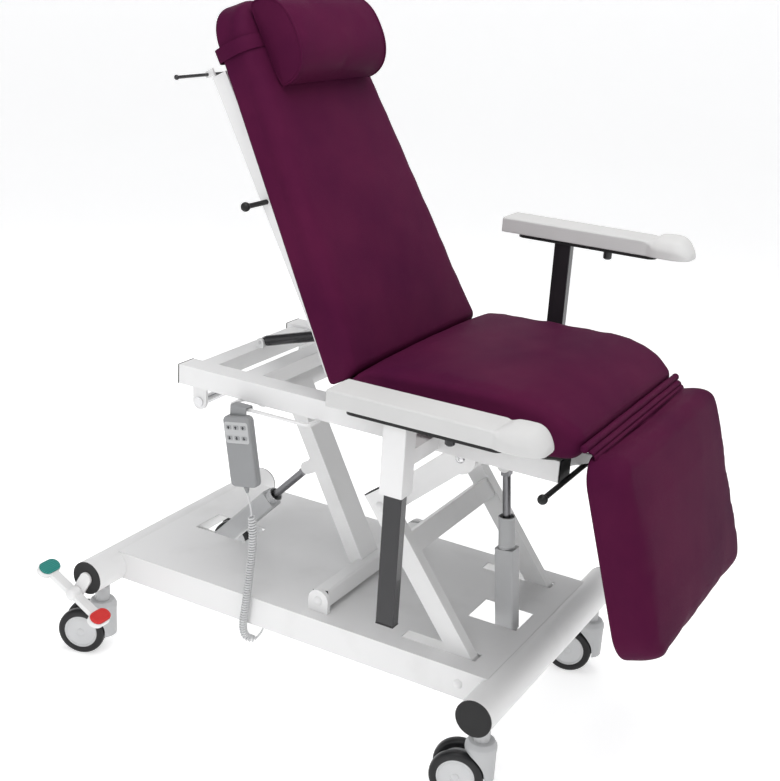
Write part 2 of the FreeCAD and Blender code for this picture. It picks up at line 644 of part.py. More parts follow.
def lift_arm():
    """The arm with its two cross tubes, about the lower pivot."""
    rise = d.lift_top_height - d.lift_pivot_height
    run = d.lift_top_place + d.lift_pivot_place
    lean = slope(rise, run - d.lift_arm_set_back)
    reach = hypot(rise, run - d.lift_arm_set_back)
    half = d.pivot_tube_side / 2
    wall = d.pivot_tube_wall
    whole = (-d.pivot_tube_half, d.pivot_tube_half)
    shell = round_block("x", 2 * wall, whole, (-half, half), (-half, half))
    bore = box(-d.pivot_tube_half - d.overrun, d.pivot_tube_half + d.overrun,
               wall - half, half - wall, wall - half, half - wall)
    pivot_tube = moved(cut(shell, bore), 0, 0, 0, -d.pivot_tube_lean)
    solid_tube = moved(round_block("x", 2 * wall, whole, (-half, half), (-half, half)),
                       0, 0, 0, -d.pivot_tube_lean)
    outer, hollow = square_tube(d.lift_arm_width, d.lift_arm_thick, d.lift_arm_wall, ZERO, reach)
    arm = moved(cut(outer, hollow), 0, d.lift_arm_set_back, 0, lean)
    top = rod("x", d.top_tube_radius, -d.top_tube_half, d.top_tube_half, run, rise)
    arm = cut(arm, solid_tube, top)
    bored = cut(rod("x", d.top_tube_radius, -d.top_tube_half, d.top_tube_half, run, rise),
                rod("x", d.disc_pin_radius + d.run_gap, -d.top_tube_half - d.overrun,
                    d.top_tube_half + d.overrun, run, rise))
    eye_y = d.rear_eye_place + d.lift_pivot_place
    eye_z = d.rear_eye_height - d.lift_pivot_height
    over = eye_y - d.lift_arm_set_back
    along_arm = over * cos(lean) + eye_z * sin(lean)
    off_arm = eye_z * cos(lean) - over * sin(lean)
    near = d.eye_width / 2 + d.eye_play
    plates = []
    for side in (-1, 1):
        lo, hi = span(side, near, near + d.bracket_thick)
        arm_side = box(lo, hi, along_arm - d.bracket_width / 2, along_arm + d.bracket_width / 2,
                       off_arm, -d.lift_arm_thick / 2)
        plates.append(moved(arm_side, 0, d.lift_arm_set_back, 0, lean))
        plates.append(rod("x", d.bracket_width / 2, lo, hi, eye_y, eye_z))
    pin = rod("x", d.eye_pin_radius, -near - d.bracket_thick, near + d.bracket_thick,
              eye_y, eye_z)
    clevis = fuse(*(plates + [pin]))
    plugs = []
    for side in (-1, 1):
        lo, hi = span(side, d.pivot_tube_half, d.pivot_tube_half + d.plug_thick)
        cap = box(lo, hi, -half, half, -half, half)
        lo, hi = span(side, d.pivot_tube_half - 2 * d.ear_thick, d.pivot_tube_half)
        fill = box(lo, hi, wall - half, half - wall, wall - half, half - wall)
        lo, hi = span(side, d.pivot_tube_half - 3 * d.ear_thick, d.pivot_tube_half + d.overrun)
        hole = rod("x", d.pivot_pin_radius + d.run_gap, lo, hi)
        plugs.append(moved(cut(fuse(cap, fill), hole), 0, 0, 0, -d.pivot_tube_lean))
    for name, thing in (("lift_arm", group(pivot_tube, arm, bored, clevis)),
                        ("pivot_tube_plugs", group(*plugs))):
        put(thing, 0, -d.lift_pivot_place, d.lift_pivot_height)
        node(name, thing)


# Lower arms and upper links

def lower_arms():
    rise = d.elbow_height - d.hip_height
    run = d.hip_place - d.elbow_place
    lean = slope(rise, run)
    reach = hypot(rise, run)
    deep = d.arm_depth / 2
    end = reach + d.arm_head
    parts, plugs = [], []
    for side in (-1, 1):
        middle = side * d.arm_slot_place
        lo, hi = middle - d.arm_width / 2, middle + d.arm_width / 2
        outer = fuse(box(lo, hi, 0, end, -deep, deep), rod("x", deep, lo, hi))
        wall = d.arm_wall
        hollow = fuse(box(lo + wall, hi - wall, 0, end + d.overrun, wall - deep, deep - wall),
                      rod("x", deep - wall, lo + wall, hi - wall))
        bush = rod("x", d.hip_pin_radius + d.arm_wall, lo, hi)
        hip = rod("x", d.hip_pin_radius + d.run_gap, lo - d.overrun, hi + d.overrun)
        elbow = rod("x", d.elbow_pin_radius, lo - d.overrun, hi + d.overrun, reach)
        parts.append(cut(fuse(cut(outer, hollow), bush), hip, elbow))
        far, face = span(side, d.link_place - d.link_width / 2 - d.plug_thick,
                         d.arm_slot_place + d.arm_width / 2)
        pin = rod("x", d.elbow_pin_radius, far, face, reach)
        washer_lo, washer_hi = span(side, d.link_place + d.link_width / 2 + d.eye_play,
                                    d.arm_slot_place - d.arm_width / 2)
        washer = rod("x", 2 * d.elbow_pin_radius, washer_lo, washer_hi, reach)
        cap = dome(side * (d.arm_slot_place + d.arm_width / 2), reach, ZERO, side)
        parts.append(fuse(pin, washer, cap))
        plug = fuse(box(lo, hi, end, end + d.plug_thick, -deep, deep),
                    box(lo + wall, hi - wall, end - d.plug_spigot, end, wall - deep, deep - wall))
        plugs.append(plug)
    inner = d.arm_slot_place - d.arm_width / 2
    tie = box(-inner, inner, d.tie_tube_place - d.tie_tube_side / 2,
              d.tie_tube_place + d.tie_tube_side / 2, -d.tie_tube_depth / 2, d.tie_tube_depth / 2)
    tie_bore = box(-inner - d.overrun, inner + d.overrun,
                   d.tie_tube_place - d.tie_tube_side / 2 + d.arm_wall,
                   d.tie_tube_place + d.tie_tube_side / 2 - d.arm_wall,
                   d.arm_wall - d.tie_tube_depth / 2, d.tie_tube_depth / 2 - d.arm_wall)
    parts.append(cut(tie, tie_bore))
    for name, things in (("lower_arms", parts), ("arm_end_plugs", plugs)):
        put(node(name, group(*things)), 0, -d.hip_place, d.hip_height, "x", lean)


def upper_links():
    rise = d.elbow_height - d.disc_height
    run = d.disc_place - d.elbow_place
    reach = hypot(rise, run)
    deep = d.link_depth / 2
    links = []
    for side in (-1, 1):
        lo = side * d.link_place - d.link_width / 2
        hi = side * d.link_place + d.link_width / 2
        wall = d.link_wall
        outer = fuse(box(lo, hi, 0, reach, -deep, deep), rod("x", deep, lo, hi),
                     rod("x", deep, lo, hi, reach))
        hollow = fuse(box(lo + wall, hi - wall, 0, reach, wall - deep, deep - wall),
                      rod("x", deep - wall, lo + wall, hi - wall),
                      rod("x", deep - wall, lo + wall, hi - wall, reach))
        bushes = (rod("x", d.disc_pin_radius + wall, lo, hi),
                  rod("x", d.elbow_pin_radius + d.elbow_clearance + wall, lo, hi, reach))
        holes = (rod("x", d.disc_pin_radius + d.run_gap, lo - d.overrun, hi + d.overrun),
                 rod("x", d.elbow_pin_radius + d.elbow_clearance, lo - d.overrun,
                     hi + d.overrun, reach))
        links.append(cut(fuse(cut(outer, hollow), *bushes), *holes))
    put(node("upper_links", group(*links)), 0, -d.disc_place, d.disc_height, "x",
        slope(rise, run))


# Seat frame

def side_rails():
    rails, plugs = [], []
    wall = d.rail_wall
    for side in (-1, 1):
        outer, hollow = square_tube(d.rail_width, d.rail_height, wall, -d.rail_front,
                                    d.rail_rear, side * d.rail_place)
        rails.append(cut(outer, hollow))
        lo = side * d.rail_place - d.rail_width / 2
        hi = side * d.rail_place + d.rail_width / 2
        deep = d.rail_height / 2
        for face, out in ((-d.rail_front, -1), (d.rail_rear, 1)):
            near, far = (face - d.plug_thick, face) if out < 0 else (face, face + d.plug_thick)
            cap = box(lo, hi, near, far, -deep, deep)
            near, far = (face, face + d.plug_spigot) if out < 0 else (face - d.plug_spigot, face)
            fill = box(lo + wall, hi - wall, near, far, wall - deep, deep - wall)
            plugs.append(fuse(cap, fill))
    put(node("side_rails", group(*rails)), 0, 0, d.rail_middle)
    put(node("rail_plugs", group(*plugs)), 0, 0, d.rail_middle)


def cross_members():
    members = []
    inner = d.rail_place - d.rail_width / 2
    beside_disc = d.link_place + d.link_width / 2 + d.eye_play
    places = ((-d.front_member_place, inner), (-d.disc_place, beside_disc),
              (-d.back_hinge_place, inner), (d.lift_top_place, inner),
              (d.spring_member_place, inner))
    wide, high, wall = d.cross_member_width / 2, d.cross_member_height / 2, d.cross_member_wall
    for place, half in places:
        outer = box(-half, half, place - wide, place + wide, d.rail_middle - high,
                    d.rail_middle + high)
        hollow = box(-half - d.overrun, half + d.overrun, place - wide + wall,
                     place + wide - wall, d.rail_middle - high + wall,
                     d.rail_middle + high - wall)
        members.append(cut(outer, hollow))
    node("cross_members", group(*members))


def lug(lo, hi, radius, y, z, y0, y1, z0, z1, hole):
    """A flat plate with a round end at y, z that runs into a block, with a pin hole."""
    ear = fuse(rod("x", radius, lo, hi, y, z), box(lo, hi, y0, y1, z0, z1))
    return cut(ear, rod("x", hole, lo - d.overrun, hi + d.overrun, y, z))


def frame_lugs():
    lugs, pins = [], []
    under = d.rail_middle - d.cross_member_height / 2
    over = d.rail_middle + d.cross_member_height / 2
    thick = d.lug_thick
    for side in (-1, 1):
        near = d.link_place + d.link_width / 2 + d.eye_play
        place, height, radius = -d.disc_place, d.disc_height, d.disc_radius
        for a, top in ((near, over), (d.link_place - d.link_width / 2 - d.eye_play - thick, under)):
            lo, hi = span(side, a, a + thick)
            plate_piece = lug(lo, hi, radius, place, height, place - radius, place + radius,
                              height, top, d.disc_pin_radius)
            above = box(lo - d.overrun, hi + d.overrun, place - 2 * radius, place + 2 * radius,
                        top, top + radius)
            lugs.append(cut(plate_piece, above))
        lo, hi = span(side, d.link_place - d.link_width / 2 - d.eye_play - thick, near + thick)
        cap = dome(side * (near + thick), place, height, side)
        pins.append(fuse(rod("x", d.disc_pin_radius, lo, hi, place, height), cap))
        place, height, radius = d.lift_top_place, d.lift_top_height, d.lug_radius
        near = d.top_tube_half + 2 * d.eye_play
        lo, hi = span(side, near, near + thick)
        lugs.append(lug(lo, hi, d.top_tube_radius + 2 * d.eye_play, place, height,
                        place - d.top_tube_radius, place + d.top_tube_radius, height, under,
                        d.disc_pin_radius))
        lo, hi = span(side, d.top_tube_half - radius, near + thick)
        pins.append(rod("x", d.disc_pin_radius, lo, hi, place, height))
        place, height, radius = -d.back_hinge_place, d.back_hinge_height, d.hinge_radius
        lo, hi = span(side, d.back_hinge_side, d.back_hinge_side + thick)
        lugs.append(lug(lo, hi, radius, place, height, place - radius, place + radius,
                        over, height, d.hinge_pin_radius))
        lo, hi = span(side, d.back_hinge_side - d.back_arm_width - d.eye_play,
                      d.back_hinge_side + thick)
        pins.append(rod("x", d.hinge_pin_radius, lo, hi, place, height))
        lo, hi = span(side, d.leg_hinge_side, d.leg_hinge_side + thick)
        front = -d.front_member_place - d.cross_member_width / 2
        rise = -d.leg_hinge_place - d.hinge_radius
        bracket = plate_yz("leg_bracket", [
            (front, d.rail_middle - d.cross_member_height / 2),
            (front, over - d.fit_gap),
            (-d.leg_hinge_place + d.hinge_radius, over + d.fit_gap),
            (-d.leg_hinge_place + d.hinge_radius, d.leg_hinge_height),
            (rise, d.leg_hinge_height), (rise, over)], lo, thick)
        ear = fuse(bracket, rod("x", d.hinge_radius, lo, hi, -d.leg_hinge_place,
                                d.leg_hinge_height))
        lugs.append(cut(ear, rod("x", d.hinge_pin_radius, lo - d.overrun, hi + d.overrun,
                                 -d.leg_hinge_place, d.leg_hinge_height)))
        lo, hi = span(side, d.leg_hinge_side - d.leg_frame_width, d.leg_hinge_side + thick)
        pins.append(rod("x", d.hinge_pin_radius, lo, hi, -d.leg_hinge_place,
                        d.leg_hinge_height))
        near = d.eye_width / 2 + d.eye_play
        lo, hi = span(side, near, near + d.bracket_thick)
        wide = d.bracket_width / 2
        lugs.append(lug(lo, hi, wide, -d.front_eye_place, d.front_eye_height,
                        -d.front_eye_place - wide, -d.front_eye_place + wide,
                        d.front_eye_height, under, d.eye_pin_radius))
        near = d.spring_eye_width / 2 + d.eye_play
        lo, hi = span(side, near, near + d.bracket_thick)
        lugs.append(lug(lo, hi, d.spring_eye_radius, d.spring_foot_place,
                        d.spring_foot_height, d.spring_foot_place - d.spring_eye_radius,
                        d.spring_foot_place + d.spring_eye_radius, over,
                        d.spring_foot_height, d.spring_pin_radius))
        lo, hi = span(side, d.foot_bar_side, d.foot_bar_side + thick)
        reach = 2 * d.foot_bar_radius
        lugs.append(lug(lo, hi, reach, -d.foot_bar_place, d.foot_bar_height,
                        -d.foot_bar_place, front, d.foot_bar_height - reach,
                        d.foot_bar_height + reach, d.foot_bar_radius + d.run_gap))
        rail_foot = d.rail_middle - d.rail_height / 2
        inner = d.rail_place - thick / 2
        lo, hi = span(side, inner, inner + thick)
        lugs.append(lug(lo, hi, d.tail_lug_radius, d.tail_lug_place, d.tail_lug_height,
                        d.tail_lug_place - d.tail_lug_radius,
                        d.tail_lug_place + d.tail_lug_radius, d.tail_lug_height, rail_foot,
                        d.disc_pin_radius))
    pins.append(rod("x", d.disc_pin_radius, -d.rail_place - thick, d.rail_place + thick,
                    d.tail_lug_place, d.tail_lug_height))
    near = d.eye_width / 2 + d.eye_play + d.bracket_thick
    pins.append(rod("x", d.eye_pin_radius, -near, near, -d.front_eye_place,
                    d.front_eye_height))
    near = d.spring_eye_width / 2 + d.eye_play + d.bracket_thick
    pins.append(rod("x", d.spring_pin_radius, -near, near, d.spring_foot_place,
                    d.spring_foot_height))
    node("frame_lugs", group(*lugs))
    node("frame_pins", group(*pins))


def post_sleeves():
    pieces = []
    half = d.sleeve_width / 2
    rear = -d.sleeve_place_front + d.sleeve_length / 2
    front = -d.sleeve_place_front - d.sleeve_length / 2
    gap = d.post_gap
    for side in (-1, 1):
        middle = side * d.sleeve_place
        block = round_block("z", d.fit_gap * 10, (middle - half, middle + half), (front, rear),
                            (d.sleeve_foot, d.sleeve_top))
        channel = box(middle - d.post_width / 2 - gap, middle + d.post_width / 2 + gap,
                      -d.sleeve_place_front - d.post_length / 2 - gap,
                      -d.sleeve_place_front + d.post_length / 2 + gap,
                      d.sleeve_foot - d.overrun, d.sleeve_top + d.overrun)
        lo, hi = span(side, d.rail_place + d.rail_width / 2, d.sleeve_place - half)
        bar = box(lo, hi, -d.sleeve_place_front - d.sleeve_arm_length / 2,
                  -d.sleeve_place_front + d.sleeve_arm_length / 2,
                  d.rail_middle - d.sleeve_arm_height / 2,
                  d.rail_middle + d.sleeve_arm_height / 2)
        pieces.extend((cut(block, channel), bar))
    node("post_sleeves", group(*pieces))


# Armrests

def armrest(name, side, lift):
    middle = side * d.sleeve_place
    place = -d.sleeve_place_front
    wide, long = d.post_width / 2, d.post_length / 2
    wall = d.post_wall
    outer = box(middle - wide, middle + wide, place - long, place + long, d.post_foot,
                d.plate_height)
    hollow = box(middle - wide + wall, middle + wide - wall, place - long + wall,
                 place + long - wall, d.post_foot - d.overrun, d.plate_height - wall)
    under = d.plate_height - d.fit_gap
    knob = turned("armrest_knob", [
        (0, -d.knob_height), (d.knob_radius - d.fit_gap * 10, -d.knob_height),
        (d.knob_radius, -d.knob_height + d.fit_gap * 10), (d.knob_radius, -d.fit_gap * 10),
        (d.knob_radius / 2, 0), (0, 0)])
    put(knob, middle, -d.knob_place, under)
    post = group(cut(outer, hollow), knob)
    half = d.plate_width / 2
    plate = round_block("z", half / 2, (middle - half, middle + half),
                        (-d.plate_front, -d.plate_rear),
                        (d.plate_height, d.plate_height + d.plate_thick))
    plug = fuse(box(middle - wide, middle + wide, place - long, place + long,
                    d.post_foot - d.plug_thick, d.post_foot),
                box(middle - wide + wall, middle + wide - wall, place - long + wall,
                    place + long - wall, d.post_foot, d.post_foot + d.plug_spigot))
    for label, thing in (("armrest_post_", post), ("armrest_plate_", group(plate, plug))):
        put(node(label + name, thing), 0, 0, lift)
    flat = d.plate_height + d.plate_thick + d.fit_gap
    pad = solid(armrest_pad_shape())
    put(node("armrest_pad_" + name, pad), middle, -d.pad_rear, flat + size(lift))


def armrest_pad_shape():
    """A long flat pad with rounded edges that widens into a domed grip at its front."""
    rows = []
    length = SIZES["pad_front"] - SIZES["pad_rear"]
    edge = SIZES["pad_edge"]
    for share in PAD_SHARES:
        along_pad = share * length
        half, top = pad_size(along_pad, length, edge)
        rows.append(slab_wire(-along_pad, half, top, edge))
    return lofted(rows)


PAD_SHARES = (0.0, 0.008, 0.03, 0.08, 0.3, 0.6, 0.78, 0.86, 0.92, 0.965, 0.988, 1.0)


def pad_size(along_pad, length, edge):
    """Half width and height of the pad at a distance from its rear end."""
    half = SIZES["pad_width"] / 2
    thick = SIZES["pad_thick"]
    grip = SIZES["grip_length"]
    from_end = length - along_pad
    swell = max(0.0, 1 - abs(from_end - grip * 0.55) / (grip * 1.1))
    swell = swell * swell * (3 - 2 * swell)
    half = half + (SIZES["grip_width"] / 2 - half) * swell
    top = thick + SIZES["grip_rise"] * swell
    corner = SIZES["grip_width"] * 0.42
    if from_end < corner:
        half = half - corner * 0.75 * (1 - math.sqrt(max(0.0, 1 - (1 - from_end / corner) ** 2)))
        top = top - (top - thick * 0.55) * (1 - from_end / corner) ** 3
    if along_pad < 2 * edge:
        curve = 1 - math.sqrt(max(0.0, 1 - (1 - along_pad / (2 * edge)) ** 2))
        half = half - 2 * edge * curve
        top = top - edge * curve
    return half, top


def slab_wire(y, half, top, edge):
    """A flat-bottomed outline with its upper corners rounded, in the plane at y."""
    edge = min(edge, top * 0.45, half * 0.45)
    bevel = edge * (1 - math.sqrt(0.5))
    points = {"a": V(-half, y, 0), "b": V(half, y, 0), "c": V(half, y, top - edge),
              "cd": V(half - bevel, y, top - bevel), "d": V(half - edge, y, top),
              "e": V(edge - half, y, top), "ef": V(bevel - half, y, top - bevel),
              "f": V(-half, y, top - edge)}
    p = points
    edges = [Part.makeLine(p["a"], p["b"]), Part.makeLine(p["b"], p["c"]),
             Part.Arc(p["c"], p["cd"], p["d"]).toShape(), Part.makeLine(p["d"], p["e"]),
             Part.Arc(p["e"], p["ef"], p["f"]).toShape(), Part.makeLine(p["f"], p["a"])]
    return Part.Wire(edges)


def crown_wire(y, half, side_height, crown):
    """A flat-backed outline with straight sides under one low arc, in the plane at y."""
    a, b = V(-half, y, 0), V(half, y, 0)
    c, e = V(half, y, side_height), V(-half, y, side_height)
    top = V(0, y, side_height + crown)
    edges = [Part.makeLine(a, b), Part.makeLine(b, c), Part.Arc(c, top, e).toShape(),
             Part.makeLine(e, a)]
    return Part.Wire(edges)


def lofted(wires):
    return Part.makeLoft(wires, True, True, False)


# Backrest, built along its own slope from its lower rear edge

ROUND_SHARES = (0.0, 0.03, 0.1, 0.22, 0.4, 0.65, 1.0)


def corner_loss(distance, radius):
    """How far a rounded corner has drawn the edge in, at a distance from the end."""
    if distance >= radius:
        return 0.0
    return radius - math.sqrt(radius * radius - (radius - distance) ** 2)


def cushion_shape(length, half_at, side_height, crown, foot_corner, head_corner, edge):
    """A padded slab: stations crowd at the two rounded ends."""
    stations = [share * foot_corner for share in ROUND_SHARES]
    stations += [length * 0.35, length * 0.65]
    stations += [length - share * head_corner for share in reversed(ROUND_SHARES)]
    wires = []
    for y in stations:
        half = half_at(y) - corner_loss(y, foot_corner) - corner_loss(length - y, head_corner)
        lost = max(corner_loss(y, edge), corner_loss(length - y, edge))
        wires.append(crown_wire(y, half, side_height - lost, crown * (1 - 0.6 * lost / edge)))
    return lofted(wires)


def back_half(y):
    full = SIZES["back_half_foot"]
    return full - (full - SIZES["back_half_head"]) * y / SIZES["back_length"]


def backrest():
    tilt = RIGHT_ANGLE - d.back_tilt
    place = (0, -d.back_foot_place, d.back_foot_height, "x", tilt)
    cushion = solid(cushion_shape(SIZES["back_length"], back_half, SIZES["back_side"],
                                  SIZES["back_crown"], SIZES["back_edge"], SIZES["back_corner"],
                                  SIZES["back_edge"]))
    raised = group(put(cushion, 0, 0, d.back_board_thick + d.fit_gap))
    put(node("backrest_cushion", raised), *place)
    inset = d.board_inset
    board = plate_xy("back_board", [
        (-d.back_half_foot + inset, inset), (d.back_half_foot - inset, inset),
        (d.back_half_head - inset, d.back_length - d.back_corner),
        (d.back_half_head - d.back_corner / 2, d.back_length - inset),
        (d.back_corner / 2 - d.back_half_head, d.back_length - inset),
        (inset - d.back_half_head, d.back_length - d.back_corner)], ZERO, d.back_board_thick)
    behind = -d.fit_gap
    deep = behind - d.back_frame_depth
    pieces = [board]
    wide, wall = d.back_frame_width / 2, d.back_frame_wall
    for side in (-1, 1):
        middle = side * d.back_frame_place
        tube = box(middle - wide, middle + wide, d.back_frame_foot, d.back_frame_head,
                   deep, behind)
        hollow = box(middle - wide + wall, middle + wide - wall, d.back_frame_foot + wall,
                     d.back_frame_head - wall, deep + wall, behind - wall)
        hole = rod("x", d.grip_bar_radius + d.run_gap, middle - 2 * wide, middle + 2 * wide,
                   d.grip_bar_along, -d.grip_bar_behind)
        pieces.append(cut(tube, hollow, hole))
        lo, hi = span(side, d.back_hinge_side - d.eye_play - d.back_arm_width,
                      d.back_hinge_side - d.eye_play)
        foot = d.hinge_pin_radius + d.run_gap
        below = hinge_drop()
        arm = fuse(box(lo, hi, below, d.back_tie_along, behind - d.back_arm_depth, behind),
                   rod("x", d.hinge_radius, lo, hi, below, ZERO))
        pieces.append(cut(arm, rod("x", foot, lo - d.overrun, hi + d.overrun, below, ZERO)))
        lo = side * d.roll_bracket_place - d.bracket_thick / 2
        hi = side * d.roll_bracket_place + d.bracket_thick / 2
        reach = 2 * d.roll_rod_radius
        bracket = lug(lo, hi, reach, d.roll_rod_along, -d.roll_rod_behind,
                      d.roll_rod_along - reach, d.roll_rod_along + reach,
                      -d.roll_rod_behind, deep, d.roll_rod_radius + d.run_gap)
        stem = box(lo, hi, d.back_frame_head - 2 * reach, d.roll_rod_along + reach,
                   deep - d.bracket_thick, deep)
        pieces.append(fuse(bracket, stem))
        near = d.spring_eye_width / 2 + d.eye_play
        lo, hi = span(side, near, near + d.bracket_thick)
        pieces.append(lug(lo, hi, d.spring_eye_radius, d.spring_head_along,
                          -d.spring_head_behind, d.spring_head_along, d.back_tie_along,
                          -d.spring_head_behind - d.spring_eye_radius / 2,
                          d.spring_eye_radius / 2 - d.spring_head_behind, d.spring_pin_radius))
    inner = d.back_frame_place - wide
    for start in (d.back_tie_along, d.back_frame_head - 2 * d.back_frame_depth):
        tie = box(-inner, inner, start, start + d.back_frame_width, deep, behind)
        tie_bore = box(-inner - d.overrun, inner + d.overrun, start + wall,
                       start + d.back_frame_width - wall, deep + wall, behind - wall)
        pieces.append(cut(tie, tie_bore))
    near = d.spring_eye_width / 2 + d.eye_play + d.bracket_thick
    pieces.append(rod("x", d.spring_pin_radius, -near, near, d.spring_head_along,
                      -d.spring_head_behind))
    put(node("backrest_frame", group(*pieces)), *place)
    holder = fuse(rod("x", d.roll_rod_radius, -d.roll_rod_half, d.roll_rod_half,
                      d.roll_rod_along, -d.roll_rod_behind),
                  ball(d.roll_rod_tip, -d.roll_rod_half, d.roll_rod_along, -d.roll_rod_behind),
                  ball(d.roll_rod_tip, d.roll_rod_half, d.roll_rod_along, -d.roll_rod_behind))
    put(node("paper_roll_rod", holder), *place)
    bar = fuse(rod("x", d.grip_bar_radius, -d.grip_bar_half, d.grip_bar_half,
                   d.grip_bar_along, -d.grip_bar_behind),
               ball(d.grip_ball_radius, -d.grip_bar_half, d.grip_bar_along, -d.grip_bar_behind),
               ball(d.grip_ball_radius, d.grip_bar_half, d.grip_bar_along, -d.grip_bar_behind))
    put(node("back_release_bar", bar), *place)
    pillow(place)


def hinge_drop():
    """Where the backrest's hinge lies along its own slope, below its foot."""
    fall = d.back_hinge_height - d.back_foot_height
    back = d.back_foot_place - d.back_hinge_place
    return back * sin(d.back_tilt) + fall * cos(d.back_tilt)


def pillow(place):
    """A half-round head cushion with a band that goes round the back."""
    front = d.back_board_thick + d.fit_gap + d.back_side + d.back_crown + d.fit_gap
    length = SIZES["pillow_head"] - SIZES["pillow_foot"]
    shape = pillow_shape(length, SIZES["pillow_half"], SIZES["pillow_thick"],
                         SIZES["pillow_edge"])
    bolster = put(solid(shape), 0, d.pillow_foot, front)
    lo, hi = d.strap_along - d.strap_width / 2, d.strap_along + d.strap_width / 2
    gap = d.fit_gap
    half = d.strap_half
    thick = d.strap_thick
    outer = box(-half - thick, half + thick, lo, hi, -gap - thick, front + thick)
    inner = box(-half, half, lo - d.overrun, hi + d.overrun, -gap, front)
    window = box(-d.pillow_half - gap, d.pillow_half + gap, lo - d.overrun, hi + d.overrun,
                 front - thick, front + 2 * thick)
    band = cut(outer, inner, window)
    put(node("head_pillow", group(bolster, band)), *place)


def pillow_shape(length, half, thick, edge):
    """A half-round bolster across the chair, with drawn-in ends."""
    wires = []
    for share in (0.0, 0.02, 0.06, 0.14, 0.5, 0.86, 0.94, 0.98, 1.0):
        x = (2 * share - 1) * half
        lost = corner_loss(half - abs(x), edge)
        grow = 1 - 0.55 * lost / edge
        middle, wide = length / 2, length / 2 * grow
        side = thick * 0.22 * grow
        a, b = V(x, middle - wide, 0), V(x, middle + wide, 0)
        c, e = V(x, middle + wide, side), V(x, middle - wide, side)
        top = V(x, middle, thick * grow)
        wires.append(Part.Wire([Part.makeLine(a, b), Part.makeLine(b, c),
                                Part.Arc(c, top, e).toShape(), Part.makeLine(e, a)]))
    return lofted(wires)


# Seat

SEAT_SHARES = (0.0, 0.025, 0.06, 0.087, 0.13, 0.2, 0.3, 0.43, 0.6, 0.735, 0.805, 0.87, 0.93,
               0.97, 1.0)
SEAT_HEIGHT_SHARES = (0.41, 0.47, 0.535, 0.68, 0.83, 0.89, 0.925, 0.96, 0.99, 1.0, 0.965, 0.885,
                      0.755, 0.62, 0.46)


def seat():
    rear, front = SIZES["seat_rear"], SIZES["seat_front"]
    rail_top = d.rail_middle + d.rail_height / 2
    floor = rail_top + d.seat_board_thick + 2 * d.fit_gap
    inset = d.board_inset
    board = box(-d.seat_half + inset, d.seat_half - inset, -d.seat_front + inset,
                -d.seat_rear - d.fit_gap, rail_top + d.fit_gap,
                rail_top + d.fit_gap + d.seat_board_thick)
    node("seat_board", board)
    wires = []
    corner = SIZES["seat_corner"]
    for share, high in zip(SEAT_SHARES, SEAT_HEIGHT_SHARES):
        along_seat = share * (front - rear)
        total = SIZES["seat_thick"] * high
        lost = max(corner_loss(along_seat, corner) * 0.3,
                   corner_loss(front - rear - along_seat, corner) * 0.4)
        crown = SIZES["seat_crown"] * high
        wires.append(crown_wire(-along_seat, SIZES["seat_half"] - lost, total - crown, crown))
    padding = put(solid(lofted(wires)), 0, -d.seat_rear, floor)
    reach = d.seat_half + d.overrun
    under_nose = cut(box(-reach, reach, -d.seat_front - d.overrun, d.seat_nose - d.seat_front,
                         floor - d.overrun, floor + d.seat_nose),
                     rod("x", d.seat_nose, -reach - d.overrun, reach + d.overrun,
                         d.seat_nose - d.seat_front, floor + d.seat_nose))
    cushion = cut(padding, under_nose)
    roll = rod("x", d.flap_radius, -d.flap_half, d.flap_half, -d.flap_place, d.flap_height)
    flap = fuse(roll, ball(d.flap_radius, -d.flap_half, -d.flap_place, d.flap_height),
                ball(d.flap_radius, d.flap_half, -d.flap_place, d.flap_height))
    node("seat_cushion", group(cushion, flap))


# Legrest, built along its own slope from its hinge

